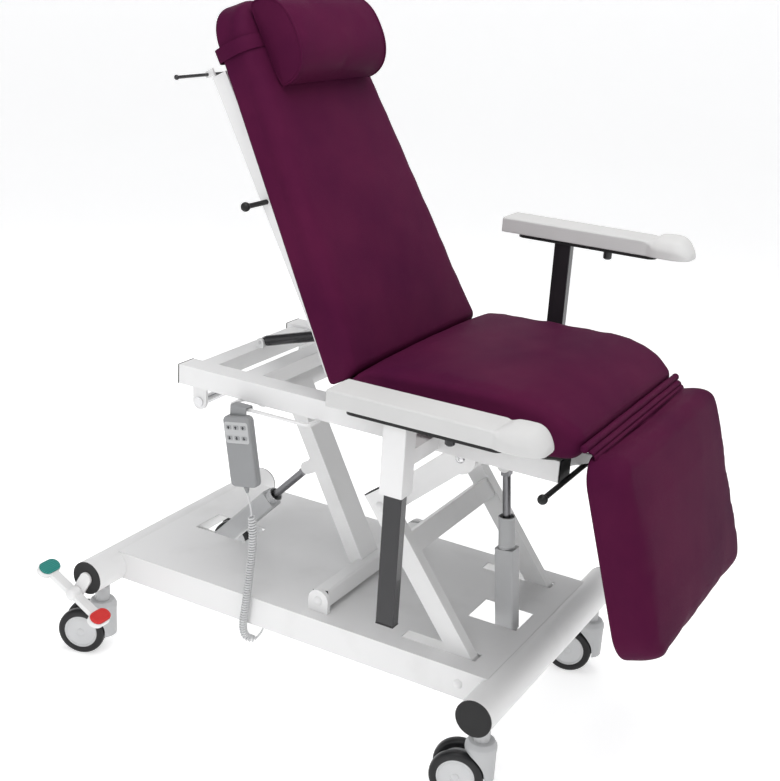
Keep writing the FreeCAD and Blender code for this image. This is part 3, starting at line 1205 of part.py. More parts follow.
def legrest():
    place = (0, -d.leg_hinge_place, d.leg_hinge_height, "x", RIGHT_ANGLE - d.leg_tilt)
    length = SIZES["leg_length"]

    def half_at(y):
        return SIZES["leg_half"]

    shape = cushion_shape(length, half_at, SIZES["leg_side"] + SIZES["leg_skirt"],
                          SIZES["leg_crown"], SIZES["leg_corner"], SIZES["leg_top_corner"],
                          SIZES["back_edge"])
    rear = d.leg_behind + d.leg_board_thick + d.fit_gap
    foot = d.leg_lead - d.leg_length
    inset = d.board_inset
    corner = d.leg_corner / 2
    half = d.leg_half - inset
    padding = put(solid(shape), 0, foot, rear - d.leg_skirt)
    loose, end = half + d.fit_gap, d.leg_lead + d.overrun
    pocket = plate_xy("leg_pocket", [
        (corner - half, foot + inset - d.fit_gap), (half - corner, foot + inset - d.fit_gap),
        (loose, foot + inset + corner), (loose, end), (-loose, end),
        (-loose, foot + inset + corner)],
        rear - d.leg_skirt - d.overrun, d.leg_skirt + d.overrun)
    reach = d.leg_half + d.overrun
    top_relief = box(-reach, reach, d.leg_lead - d.leg_skirt_drop, end,
                     rear - d.leg_skirt - d.overrun, rear)
    put(node("legrest_cushion", group(cut(padding, pocket, top_relief))), *place)
    board = plate_xy("leg_board", [
        (corner - half, foot + inset), (half - corner, foot + inset),
        (half, foot + inset + corner), (half, d.leg_lead - inset - corner / 2),
        (half - corner / 2, d.leg_lead - inset), (corner / 2 - half, d.leg_lead - inset),
        (-half, d.leg_lead - inset - corner / 2), (-half, foot + inset + corner)],
        d.leg_behind, d.leg_board_thick)
    pieces = [board]
    behind = d.leg_behind - d.fit_gap
    for side in (-1, 1):
        lo, hi = span(side, d.leg_hinge_side - d.eye_play - d.leg_frame_width,
                      d.leg_hinge_side - d.eye_play)
        arm = fuse(box(lo, hi, -d.leg_frame_length, 0, behind - d.leg_frame_depth, behind),
                   rod("x", d.hinge_radius - d.eye_play, lo, hi))
        hole = rod("x", d.hinge_pin_radius + d.run_gap, lo - d.overrun, hi + d.overrun)
        pieces.append(cut(arm, hole))
    inner = d.leg_hinge_side - d.eye_play - d.leg_frame_width
    pieces.append(box(-inner, inner, -d.leg_frame_length, d.leg_frame_width - d.leg_frame_length,
                      behind - d.leg_frame_depth, behind))
    put(node("legrest_frame", group(*pieces)), *place)
    bar = fuse(rod("x", d.foot_bar_radius, -d.foot_bar_half, d.foot_bar_half,
                   -d.foot_bar_place, d.foot_bar_height),
               ball(d.grip_ball_radius, -d.foot_bar_half, -d.foot_bar_place, d.foot_bar_height),
               ball(d.grip_ball_radius, d.foot_bar_half, -d.foot_bar_place, d.foot_bar_height))
    node("leg_release_bar", bar)


# Actuators, each along its own line from its lower eye

def actuator(name, foot, eye, housing_length, guide_length):
    foot_y, foot_z = foot
    eye_y, eye_z = eye
    run, rise = eye_y - foot_y, eye_z - foot_z
    reach = hypot(rise, run)
    line = slope(rise, run)
    wide, deep = d.motor_width / 2, d.motor_depth / 2
    end = housing_length
    half = d.eye_width / 2
    bore = rod("y", d.guide_bore, 3 * d.housing_foot, end + guide_length + d.overrun)
    case = round_block("y", d.handset_round, (-wide, wide), (d.housing_foot, end), (-deep, deep))
    neck = box(-half, half, 0, d.housing_foot, -d.eye_radius, d.eye_radius)
    eye_end = rod("x", d.eye_radius, -half, half)
    hole = rod("x", d.eye_pin_radius + d.run_gap, -half - d.overrun, half + d.overrun)
    guide = rod("y", d.guide_radius, end, end + guide_length)
    body = cut(fuse(case, neck, eye_end, guide), bore, hole)
    put(node(name + "_actuator_body", body), 0, foot_y, foot_z, "x", line)
    shown = reach - end - guide_length
    shaft = rod("y", d.rod_radius, -shown - d.rod_overlap, 0)
    knuckle = fuse(rod("x", d.eye_radius, -half, half),
                   box(-half, half, -2 * d.eye_radius, 0, -d.rod_radius, d.rod_radius))
    rod_piece = cut(fuse(shaft, knuckle),
                    rod("x", d.eye_pin_radius + d.run_gap, -half - d.overrun, half + d.overrun))
    put(node(name + "_actuator_rod", rod_piece), 0, eye_y, eye_z, "x", line)


def back_spring():
    tilt = RIGHT_ANGLE - d.back_tilt
    head_y = -d.back_foot_place + d.spring_head_along * cos(tilt) \
        + d.spring_head_behind * sin(tilt)
    head_z = d.back_foot_height + d.spring_head_along * sin(tilt) \
        - d.spring_head_behind * cos(tilt)
    run, rise = head_y - d.spring_foot_place, head_z - d.spring_foot_height
    line = slope(rise, run)
    half = d.spring_eye_width / 2
    hole = rod("x", d.spring_pin_radius + d.run_gap, -half - d.overrun, half + d.overrun)
    barrel = cut(fuse(rod("y", d.spring_barrel_radius, d.spring_barrel_radius,
                          d.spring_barrel_length),
                      rod("x", d.spring_eye_radius - d.eye_play, -half, half),
                      rod("y", d.spring_pin_radius + d.eye_play, 0, d.spring_barrel_radius)),
                 rod("y", d.spring_bore, 2 * d.spring_barrel_radius,
                     d.spring_barrel_length + d.overrun), hole)
    put(node("back_spring_barrel", barrel), 0, d.spring_foot_place, d.spring_foot_height, "x",
        line)
    hole = rod("x", d.spring_pin_radius + d.run_gap, -half - d.overrun, half + d.overrun)
    shaft = cut(fuse(rod("y", d.spring_rod_radius, -d.spring_rod_length, 0),
                     rod("x", d.spring_eye_radius - d.eye_play, -half, half)), hole)
    put(node("back_spring_rod", shaft), 0, head_y, head_z, "x", line)


# Handset

def handset_loop():
    inner = d.rail_place + d.rail_width / 2 - d.loop_tuck / 2
    outer = inner + d.loop_reach + d.loop_tuck / 2
    top = d.rail_middle - d.rail_height / 2
    ring = round_block("z", 2 * d.loop_bar, (-outer, -inner), (-d.loop_front, d.loop_rear),
                       (top - d.loop_thick, top))
    hole = round_block("z", d.loop_bar, (d.loop_bar - outer, -inner - d.loop_bar),
                       (d.loop_bar - d.loop_front, d.loop_rear - d.loop_bar),
                       (top - 2 * d.loop_thick, top + d.loop_thick))
    node("handset_loop", cut(ring, hole))
    return outer, top


def handset():
    outer, top = handset_loop()
    half, wide = d.handset_thick / 2, d.handset_width / 2
    centre = -d.handset_across
    spot = (centre, d.handset_place, d.handset_top, "x", -d.handset_lean)
    case = round_block("x", 2 * d.handset_round, (-half, half), (-wide, wide),
                       (-d.handset_length, ZERO))
    pockets = []
    index = 0
    for row in range(2):
        for column in (-1, 0, 1):
            index += 1
            y = column * d.key_pitch_across
            z = -d.key_top_drop - row * d.key_pitch_down
            across, high = d.key_width / 2, d.key_height / 2
            gap = d.key_gap
            pockets.append(box(-half - d.overrun, d.key_depth - half, y - across - gap,
                               y + across + gap, z - high - gap, z + high + gap))
            key = box(-half - d.key_proud, d.key_depth - half - d.key_travel_room, y - across,
                      y + across, z - high, z + high)
            put(node("handset_key_%d" % index, group(key)), *spot)
    shell = moved_to(cut(case, *pockets), *spot)
    hook_half = d.hook_width / 2
    over = top + 3 * d.fit_gap
    inside = -outer + d.loop_bar + d.hook_thick
    hook = fuse(box(centre - half, -outer - 2 * d.fit_gap, d.handset_place - hook_half,
                    d.handset_place + hook_half, d.handset_top - 2 * d.hook_thick,
                    over + d.hook_thick),
                box(centre - half, inside + d.hook_thick, d.handset_place - hook_half,
                    d.handset_place + hook_half, over, over + d.hook_thick),
                box(inside, inside + d.hook_thick, d.handset_place - hook_half,
                    d.handset_place + hook_half, over - 2 * d.hook_thick,
                    over + d.hook_thick))
    relief = moved_to(rod("z", d.gland_radius - d.fit_gap * 10, -d.handset_length - d.gland_length,
                          -d.handset_length), *spot)
    node("handset_shell", fuse(shell, hook, relief))
    return centre


def cord_points(centre):
    """Corners of the cord's route, from under the handset to the gland below the deck."""
    lean = math.radians(SIZES["handset_lean"])
    drop = SIZES["handset_length"] + SIZES["gland_length"] + 3 * SIZES["fit_gap"]
    x = centre
    top = V(x, SIZES["handset_place"] - drop * math.sin(lean),
            SIZES["handset_top"] - drop * math.cos(lean))
    gland = V(-SIZES["gland_place"], SIZES["gland_place_rear"],
              SIZES["deck_top"] - SIZES["sheet_thick"] - SIZES["gland_length"] - SIZES["fit_gap"])
    names = ("cord_upper", "cord_lower", "cord_low")
    bends = [V(-SIZES[n + "_x"], SIZES[n + "_y"], SIZES[n + "_z"]) for n in names]
    return [top] + bends + [V(gland.x, gland.y, SIZES["cord_low_z"]), gland]


BEND_SHARE = 0.45


def smooth_path(points):
    """Straight runs joined by tangent arcs; returns the edges and the tightest radius."""
    edges, radii = [], []
    start = points[0]
    for before, corner, after in zip(points, points[1:], points[2:]):
        back, ahead = before - corner, after - corner
        trim = BEND_SHARE * min(back.Length, ahead.Length)
        turn = math.pi - back.getAngle(ahead)
        radii.append(trim / math.tan(turn / 2))
        enter = corner + back * (trim / back.Length)
        leave = corner + ahead * (trim / ahead.Length)
        inward = (back * (1 / back.Length) + ahead * (1 / ahead.Length))
        inward = inward * (1 / inward.Length)
        middle = corner + inward * (radii[-1] / math.cos(turn / 2) - radii[-1])
        edges.append(Part.makeLine(start, enter))
        edges.append(Part.Arc(enter, middle, leave).toShape())
        start = leave
    edges.append(Part.makeLine(start, points[-1]))
    return edges, radii


def swept(edges, radius):
    """A round bar along a chain of edges."""
    first = edges[0]
    at, ahead = first.Vertexes[0].Point, first.tangentAt(first.FirstParameter)
    ring = Part.Wire([Part.Circle(at, ahead, radius).toShape()])
    return Part.Wire(edges).makePipeShell([ring], True, False)


def handset_cord(centre):
    edges, radii = smooth_path(cord_points(centre))
    thin = swept(edges, SIZES["cord_radius"])
    fat = swept(edges[1:-1], SIZES["curl_radius"] + SIZES["curl_wire_radius"])
    cord = thin.fuse(fat)
    length = sum(edge.Length for edge in edges)
    print("cord length %.0f mm, bend radii %s" % (length, ["%.0f" % r for r in radii]))
    section = math.pi * SIZES["cord_radius"] ** 2
    print("cord volume against its length", thin.Volume / (section * length))
    node("handset_cord", solid(cord.removeSplitter()))
    gland = turned("cord_gland_body", [
        (0, 0), (d.gland_radius - d.fit_gap * 10, 0), (d.gland_radius, d.gland_length / 2),
        (d.gland_radius, d.gland_length), (0, d.gland_length)])
    put(node("cord_gland", gland), -d.gland_place, d.gland_place_rear,
        d.deck_top - d.sheet_thick - d.gland_length)


cross_tubes()
end_plugs()
tray()
beams()
base_brackets()
base_pins()
for corner_name, (side_sign, end_sign, turn_angle) in CASTERS.items():
    caster(corner_name, side_sign, end_sign, turn_angle)
pedal()
lift_arm()
lower_arms()
upper_links()
side_rails()
cross_members()
frame_lugs()
post_sleeves()
armrest("right", -1, 0)
armrest("left", 1, d.armrest_lift)
backrest()
back_spring()
seat()
legrest()
actuator("rear", (d.rear_foot_place, d.rear_foot_height), (d.rear_eye_place, d.rear_eye_height),
         d.rear_housing_length, d.rear_guide_length)
actuator("front", (-d.front_foot_place, d.front_foot_height),
         (-d.front_eye_place, d.front_eye_height), d.front_housing_length, d.front_guide_length)
handset_cord(handset().value)
DOC.recompute()

failed = []
for thing in DOC.Objects:
    if "Invalid" in thing.State or "Error" in thing.State:
        failed.append((thing.Name, thing.Label, thing.State))
for name, thing in NODES.items():
    shape = thing.Shape
    if shape.isNull() or not shape.isValid() or not shape.Solids:
        failed.append((name, "shape"))
print("problems:", failed)
assert not failed

os.makedirs("parts", exist_ok=True)
for name, thing in NODES.items():
    thing.Shape.exportStep("parts/%s.step" % name)
    bound = thing.Shape.BoundBox
    print("%-24s %2d solids  x %7.1f %7.1f  y %7.1f %7.1f  z %7.1f %7.1f" % (
        name, len(thing.Shape.Solids), bound.XMin, bound.XMax, bound.YMin, bound.YMax,
        bound.ZMin, bound.ZMax))
print(len(NODES), "sub-parts written")
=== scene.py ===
import bpy
import bmesh
import json
import logging
import math
import numpy as np
from dataclasses import dataclass
from enum import Enum
from mathutils import Matrix, Vector
from mathutils.kdtree import KDTree

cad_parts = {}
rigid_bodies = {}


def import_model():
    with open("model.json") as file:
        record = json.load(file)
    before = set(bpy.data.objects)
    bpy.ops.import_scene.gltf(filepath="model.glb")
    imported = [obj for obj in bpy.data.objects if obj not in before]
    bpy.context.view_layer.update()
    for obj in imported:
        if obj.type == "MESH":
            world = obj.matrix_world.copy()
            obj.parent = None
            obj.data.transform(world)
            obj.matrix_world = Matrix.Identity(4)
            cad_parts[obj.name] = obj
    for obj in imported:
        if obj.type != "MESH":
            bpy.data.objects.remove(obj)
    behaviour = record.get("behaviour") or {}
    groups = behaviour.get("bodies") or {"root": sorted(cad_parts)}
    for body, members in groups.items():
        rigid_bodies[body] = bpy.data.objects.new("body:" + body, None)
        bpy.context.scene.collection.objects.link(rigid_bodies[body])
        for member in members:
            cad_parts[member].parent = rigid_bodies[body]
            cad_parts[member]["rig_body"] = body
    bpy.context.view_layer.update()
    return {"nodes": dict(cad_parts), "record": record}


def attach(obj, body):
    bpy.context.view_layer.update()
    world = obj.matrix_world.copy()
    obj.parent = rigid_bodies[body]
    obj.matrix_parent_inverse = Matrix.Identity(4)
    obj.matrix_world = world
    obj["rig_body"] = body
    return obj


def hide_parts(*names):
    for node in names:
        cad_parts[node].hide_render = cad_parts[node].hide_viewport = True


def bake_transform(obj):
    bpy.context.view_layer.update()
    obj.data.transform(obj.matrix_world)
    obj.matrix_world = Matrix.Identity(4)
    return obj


LOG = logging.getLogger("treatment_chair")
Grid = np.ndarray
# Sizes below are measured from a point that lies this far along y in the row frame
SHIFT = 0.1211


# Shader expressions

class Wire:
    """A shader socket that adds Math nodes when it is used in a sum or times a number."""

    def __init__(self, board: "Board", socket: object) -> None:
        """Keep the board and the output socket."""
        self.board = board
        self.socket = socket

    def _math(self, operation: str, a: object, b: object) -> "Wire":
        """Add one Math node.

        Args:
            operation: the node's operation name.
            a: first value or wire.
            b: second value or wire.

        Returns:
            The node's result.
        """
        return self.board.add("ShaderNodeMath", {"operation": operation}, {0: a, 1: b})

    def __add__(self, other: object) -> "Wire":
        """self + other."""
        return self._math("ADD", self, other)

    def __radd__(self, other: object) -> "Wire":
        """other + self."""
        return self._math("ADD", other, self)

    def __rmul__(self, other: object) -> "Wire":
        """other * self."""
        return self._math("MULTIPLY", other, self)


class Board:
    """One material's node board, with its principled shader."""

    def __init__(self, name: str) -> None:
        """Make the material and clear its board down to shader and output.

        Args:
            name: the material's name.
        """
        self.material = bpy.data.materials.new(name)
        self.material.use_nodes = True
        self.nodes = self.material.node_tree.nodes
        self.links = self.material.node_tree.links
        self.shader = self.nodes["Principled BSDF"]
        self._place = None

    def add(self, kind: str, settings: dict, values: dict, output: object = 0) -> Wire:
        """Add any node.

        Args:
            kind: the node's type name.
            settings: attributes set first.
            values: socket name or number to a value or a wire.
            output: name or number of the output that is used.

        Returns:
            That output as a wire.
        """
        node = self.nodes.new(kind)
        for key, value in settings.items():
            if key == "stops":
                self._stops(node, value)
            else:
                setattr(node, key, value)
        for key, value in values.items():
            self.feed(node.inputs[key], value)
        return Wire(self, node.outputs[output])

    @staticmethod
    def _stops(node: object, stops: list) -> None:
        """Set a ramp's stops as (position, grey or colour).

        Args:
            node: the ramp node.
            stops: the stops in order.
        """
        ramp = node.color_ramp
        while len(ramp.elements) > 1:
            ramp.elements.remove(ramp.elements[-1])
        for i, (position, colour) in enumerate(stops):
            element = ramp.elements[0] if i == 0 else ramp.elements.new(position)
            element.position = position
            colour = (colour,) * 3 if isinstance(colour, float) else colour
            element.color = (*colour, 1.0)

    def feed(self, socket: object, value: object) -> None:
        """Give a socket a wire or a plain value.

        Args:
            socket: an input socket.
            value: a wire, a number or a colour.
        """
        if isinstance(value, Wire):
            self.links.new(value.socket, socket)
        elif isinstance(value, tuple) and len(value) == 3 and socket.type == "RGBA":
            socket.default_value = (*value, 1.0)
        else:
            socket.default_value = value

    @property
    def place(self) -> Wire:
        """The object's own coordinates, in metres.

        Returns:
            The wire, made once.
        """
        if self._place is None:
            self._place = self.add("ShaderNodeTexCoord", {}, {}, "Object")
        return self._place

    def stretched(self, scale: tuple, turn: tuple = (0.0, 0.0, 0.0)) -> Wire:
        """Object coordinates turned and scaled by a Mapping node."""
        return self.add("ShaderNodeMapping", {}, {"Vector": self.place, "Rotation": turn,
                                                  "Scale": scale})

    def noise(self, scale: float, detail: float = 2.0, rough: float = 0.5,
              at: object = None) -> Wire:
        """Cloudy noise at so many features per metre."""
        return self.add("ShaderNodeTexNoise", {}, {"Vector": at or self.place, "Scale": scale,
                                                   "Detail": detail, "Roughness": rough})

    def cells(self, scale: float, feature: str = "DISTANCE_TO_EDGE", at: object = None) -> Wire:
        """Cell pattern at so many cells per metre."""
        return self.add("ShaderNodeTexVoronoi", {"feature": feature},
                        {"Vector": at or self.place, "Scale": scale}, "Distance")

    def ramp(self, value: Wire, *stops: tuple) -> Wire:
        """Map a value through a colour ramp."""
        return self.add("ShaderNodeValToRGB", {"stops": list(stops)}, {"Fac": value})

    def mix(self, share: object, a: object, b: object) -> Wire:
        """Mix two colours.

        Args:
            share: how much of b, 0 to 1.
            a: first colour.
            b: second colour.

        Returns:
            The mixed colour.
        """
        node = self.nodes.new("ShaderNodeMix")
        node.data_type = "RGBA"
        self.feed(node.inputs[0], share)
        self.feed(node.inputs[6], a)
        self.feed(node.inputs[7], b)
        return Wire(self, node.outputs[2])

    def bump(self, height: Wire, depth: float, strength: float = 1.0) -> None:
        """Feed the shader's normal from a height in metres times depth.

        Args:
            height: the height.
            depth: metres that a height of 1 stands for.
            strength: share of the effect.
        """
        node = self.add("ShaderNodeBump", {}, {"Height": height, "Distance": depth,
                                               "Strength": strength}, "Normal")
        self.feed(self.shader.inputs["Normal"], node)

    def set(self, **values: object) -> None:
        """Set the shader's own sockets; an underscore stands for a space."""
        for key, value in values.items():
            self.feed(self.shader.inputs[key.replace("_", " ")], value)


@dataclass(frozen=True)
class PowderCoat:
    """Semi-gloss paint with faint orange peel and a little grime in broad patches."""

    name: str
    colour: tuple = (0.76, 0.76, 0.758)
    worn: tuple = (0.70, 0.70, 0.695)
    rough: float = 0.36

    def make(self) -> object:
        """Build the material.

        Returns:
            The material.
        """
        b = Board(self.name)
        cloud = b.noise(7.0, 3.0, 0.55)
        b.set(Base_Color=b.mix(b.ramp(cloud, (0.55, 0.0), (0.8, 1.0)), self.colour, self.worn),
              Roughness=self.rough + 0.12 * cloud)
        b.bump(b.noise(420.0, 1.0), 0.00035, 0.25)
        return b.material


@dataclass(frozen=True)
class Vinyl:
    """Coated upholstery cloth: fine cell grain, soft colour drift, creased gloss."""

    name: str
    colour: tuple
    deep: tuple
    rough: float = 0.40
    grain: float = 620.0
    depth: float = 0.00022
    gloss: float = 0.05

    def make(self) -> object:
        """Build the material.

        Returns:
            The material.
        """
        b = Board(self.name)
        drift = b.noise(3.2, 4.0, 0.6)
        cells = b.cells(self.grain)
        pores = b.ramp(cells, (0.0, 1.0), (0.12, 0.0))
        tone = b.mix(b.ramp(drift, (0.35, 0.0), (0.7, 1.0)), self.colour, self.deep)
        b.set(Base_Color=b.mix(0.25 * pores, tone, self.deep),
              Roughness=self.rough + 0.16 * drift + 0.08 * pores)
        b.set(Specular_IOR_Level=self.gloss)
        height = b.ramp(cells, (0.0, 0.0), (0.25, 1.0)) + 0.5 * b.noise(1500.0, 2.0) \
            + 6.0 * b.noise(22.0, 2.0, 0.4)
        b.bump(height, self.depth, 0.55)
        return b.material


@dataclass(frozen=True)
class Plastic:
    """Moulded plastic with a spark-eroded texture."""

    name: str
    colour: tuple
    rough: float = 0.42
    texture: float = 900.0
    coat: float = 0.0
    gloss: float = 0.3

    def make(self) -> object:
        """Build the material.

        Returns:
            The material.
        """
        b = Board(self.name)
        cloud = b.noise(11.0, 3.0)
        light = tuple(min(1.0, c * 1.12 + 0.004) for c in self.colour)
        b.set(Base_Color=b.mix(cloud, self.colour, light), Roughness=self.rough + 0.1 * cloud)
        b.set(Coat_Weight=self.coat, Specular_IOR_Level=self.gloss)
        b.bump(b.noise(self.texture, 2.0), 0.0002, 0.3)
        return b.material


@dataclass(frozen=True)
class Metal:
    """Bright metal with faint lengthwise drawing marks."""

    name: str
    colour: tuple = (0.72, 0.72, 0.73)
    rough: float = 0.16
    marks: tuple = (900.0, 900.0, 12.0)

    def make(self) -> object:
        """Build the material.

        Returns:
            The material.
        """
        b = Board(self.name)
        lines = b.noise(1.0, 2.0, 0.5, b.stretched(self.marks))
        dust = b.noise(30.0, 3.0)
        b.set(Base_Color=b.mix(dust, self.colour, tuple(c * 0.86 for c in self.colour)),
              Roughness=self.rough + 0.16 * lines, Metallic=1.0)
        b.bump(lines, 0.00006, 0.3)
        return b.material


@dataclass(frozen=True)
class Ribbed:
    """Rubber tread: parallel ribs across the piece, paler on the crests, darker between."""

    name: str
    colour: tuple
    pitch: float = 0.005
    turn: tuple = (0.0, 0.0, 0.0)

    def make(self) -> object:
        """Build the material.

        Returns:
            The material.
        """
        b = Board(self.name)
        at = b.stretched((1.0, 1.0, 1.0), self.turn)
        wave = b.add("ShaderNodeTexWave", {"bands_direction": "Y"},
                     {"Vector": at, "Scale": 0.314 / self.pitch, "Distortion": 0.0})
        ribs = b.ramp(wave, (0.3, 0.0), (0.7, 1.0))
        pale = tuple(min(1.0, c * 1.25 + 0.01) for c in self.colour)
        b.set(Base_Color=b.mix(ribs, tuple(c * 0.8 for c in self.colour), pale),
              Roughness=0.5 + 0.15 * b.noise(40.0))
        b.bump(ribs, 0.0006, 0.6)
        return b.material


class Finish(Enum):
    """Every finish on the chair."""

    WHITE = PowderCoat("white powder coat")
    PLUM = Vinyl("plum vinyl", (0.082, 0.0095, 0.038), (0.056, 0.0058, 0.030), 0.46,
                 gloss=0.02)
    PALE_SKIN = Vinyl("white foam skin", (0.62, 0.62, 0.615), (0.57, 0.57, 0.565), 0.44, 900.0,
                      0.00008)
    BLACK = Plastic("black plastic", (0.008, 0.008, 0.0085), 0.42)
    BLACK_GLOSS = Plastic("black gloss tube", (0.016, 0.016, 0.018), 0.2, 500.0, 0.4)
    GREY = Plastic("light grey plastic", (0.44, 0.445, 0.45), 0.4)
    DISC = Plastic("wheel disc grey", (0.52, 0.525, 0.53), 0.3, 700.0, 0.1)
    HANDSET = Plastic("handset grey", (0.25, 0.255, 0.26), 0.36)
    TYRE = Plastic("black tyre", (0.010, 0.010, 0.011), 0.26, 300.0)
    KEY = Plastic("black key", (0.02, 0.02, 0.024), 0.45)
    KEY_CAP = Plastic("pale key cap", (0.30, 0.305, 0.31), 0.42)
    CORD = Plastic("cord sheath", (0.55, 0.555, 0.56), 0.35)
    BOARD = Plastic("black stained board", (0.012, 0.0115, 0.011), 0.62, 160.0)
    STEEL = Metal("bright steel")
    DARK_STEEL = Metal("dark steel rod", (0.23, 0.23, 0.24), 0.28)
    GREEN = Ribbed("green tread", (0.006, 0.215, 0.185), 0.005, (math.radians(-28), 0.0, 0.0))
    RED = Ribbed("red tread", (0.58, 0.012, 0.010), 0.005, (math.radians(-28), 0.0, 0.0))

    def material(self) -> object:
        """The finish's material, built once."""
        known = bpy.data.materials.get(self.value.name)
        return known or self.value.make()


# Surfaces

@dataclass(frozen=True)
class Slope:
    """A frame tilted about X: y runs along the slope and z stands off it."""

    y: float
    z: float
    tilt: float
    x: float = 0.0
    yaw: float = 0.0

    def out(self, points: Grid) -> Grid:
        """Turn points by yaw about Z, then tilt about X, and set them in the row frame.

        Args:
            points: array of local points, last axis x, y, z, in metres.

        Returns:
            The same array in the row frame.
        """
        a, w = math.radians(self.tilt), math.radians(self.yaw)
        x, y, z = points[..., 0], points[..., 1], points[..., 2]
        y, z = y * math.cos(a) - z * math.sin(a), y * math.sin(a) + z * math.cos(a)
        x, y = x * math.cos(w) - y * math.sin(w), x * math.sin(w) + y * math.cos(w)
        return np.stack([x + self.x, y + self.y + SHIFT, z + self.z], -1)

    def back(self, points: Grid) -> tuple:
        """Points of the row frame as distances along the slope and off it.

        Args:
            points: array of points.

        Returns:
            The two distances, each with one value per point.
        """
        a = math.radians(self.tilt)
        y, z = points[..., 1] - SHIFT - self.y, points[..., 2] - self.z
        return y * math.cos(a) + z * math.sin(a), z * math.cos(a) - y * math.sin(a)


def turn(count: int) -> Grid:
    """Angles evenly spaced round a full circle."""
    return np.linspace(0, 2 * np.pi, count, endpoint=False)


def stand(name: str, data: object) -> object:
    """A new object in the scene that holds a mesh, a curve, a camera or a lamp.

    Args:
        name: the object's name.
        data: what it holds.

    Returns:
        The object.
    """
    piece = bpy.data.objects.new(name, data)
    bpy.context.scene.collection.objects.link(piece)
    return piece


def mesh_points(mesh: object, kind: str = "co") -> Grid:
    """A mesh's vertex places or normals as an array.

    Args:
        mesh: the mesh.
        kind: "co" for places or "normal" for normals.

    Returns:
        Array (vertices, 3).
    """
    flat = np.zeros(len(mesh.vertices) * 3, np.float32)
    mesh.vertices.foreach_get(kind, flat)
    return flat.reshape(-1, 3).astype(float)


def face_outward(mesh: object, merge: bool, smooth: bool = True) -> None:
    """Turn a mesh's faces outward and shade them.

    Args:
        mesh: the mesh.
        merge: whether points less than a micrometre apart become one.
        smooth: whether faces shade smoothly.
    """
    work = bmesh.new()
    work.from_mesh(mesh)
    if merge:
        bmesh.ops.remove_doubles(work, verts=work.verts, dist=1e-6)
    bmesh.ops.recalc_face_normals(work, faces=work.faces)
    work.to_mesh(mesh)
    work.free()
    mesh.polygons.foreach_set("use_smooth", np.full(len(mesh.polygons), smooth))


def skin(name: str, grid: Grid, smooth: bool = True) -> object:
    """A closed skin over rings of points: quads between rings, a fan on each end ring.

    Args:
        name: the object's name.
        grid: array (rings, points round, 3), every ring closed.
        smooth: whether faces shade smoothly.

    Returns:
        The new object, at the origin.
    """
    rings, round_, _ = grid.shape
    index = np.arange(rings * round_).reshape(rings, round_)
    a, b = index[:-1], index[1:]
    quads = np.stack([a, np.roll(a, -1, 1), np.roll(b, -1, 1), b], -1).reshape(-1, 4)
    ends = grid[[0, -1]].mean(1)
    points = np.concatenate([grid.reshape(-1, 3), ends])
    first, last = rings * round_, rings * round_ + 1
    head = np.stack([np.full(round_, first), np.roll(index[0], -1), index[0]], -1)
    tail = np.stack([np.full(round_, last), index[-1], np.roll(index[-1], -1)], -1)
    mesh = bpy.data.meshes.new(name)
    mesh.from_pydata(points.tolist(), [], quads.tolist() + head.tolist() + tail.tolist())
    mesh.validate()
    face_outward(mesh, True, smooth)
    return stand(name, mesh)


def lathe(profile: list, round_: int) -> Grid:
    """Spin a profile about Z: x = r cos(t), y = r sin(t), z = height.

    Args:
        profile: (radius, height) pairs, in metres.
        round_: points round the axis.

    Returns:
        Array (profile points, round_, 3).
    """
    p = np.asarray(profile, float)
    t = turn(round_)
    return np.stack([p[:, :1] * np.cos(t), p[:, :1] * np.sin(t),
                     np.repeat(p[:, 1:], round_, 1)], -1)


def lathe_x(profile: list, round_: int) -> Grid:
    """Spin a profile of (radius, distance) about X, as lathe() does about Z."""
    return lathe(profile, round_)[..., [2, 0, 1]]


def rounded_profile(corners: list, radius: float, steps: int = 5) -> list:
    """An open profile whose inner corners are rounded by short arcs.

    Each corner is replaced by points of a quadratic curve that starts and ends radius away.

    Args:
        corners: (a, b) pairs.
        radius: trim length at each corner, in metres.
        steps: points on each rounding.

    Returns:
        The finer profile.
    """
    p = np.asarray(corners, float)
    done = [p[:1]]
    t = np.linspace(0, 1, steps)[:, None]
    for before, at, after in zip(p, p[1:], p[2:]):
        r1 = min(radius, 0.45 * np.linalg.norm(before - at))
        r2 = min(radius, 0.45 * np.linalg.norm(after - at))
        s = at + (before - at) * r1 / np.linalg.norm(before - at)
        e = at + (after - at) * r2 / np.linalg.norm(after - at)
        done.append((1 - t) ** 2 * s + 2 * t * (1 - t) * at + t ** 2 * e)
    done.append(p[-1:])
    return np.concatenate(done).tolist()


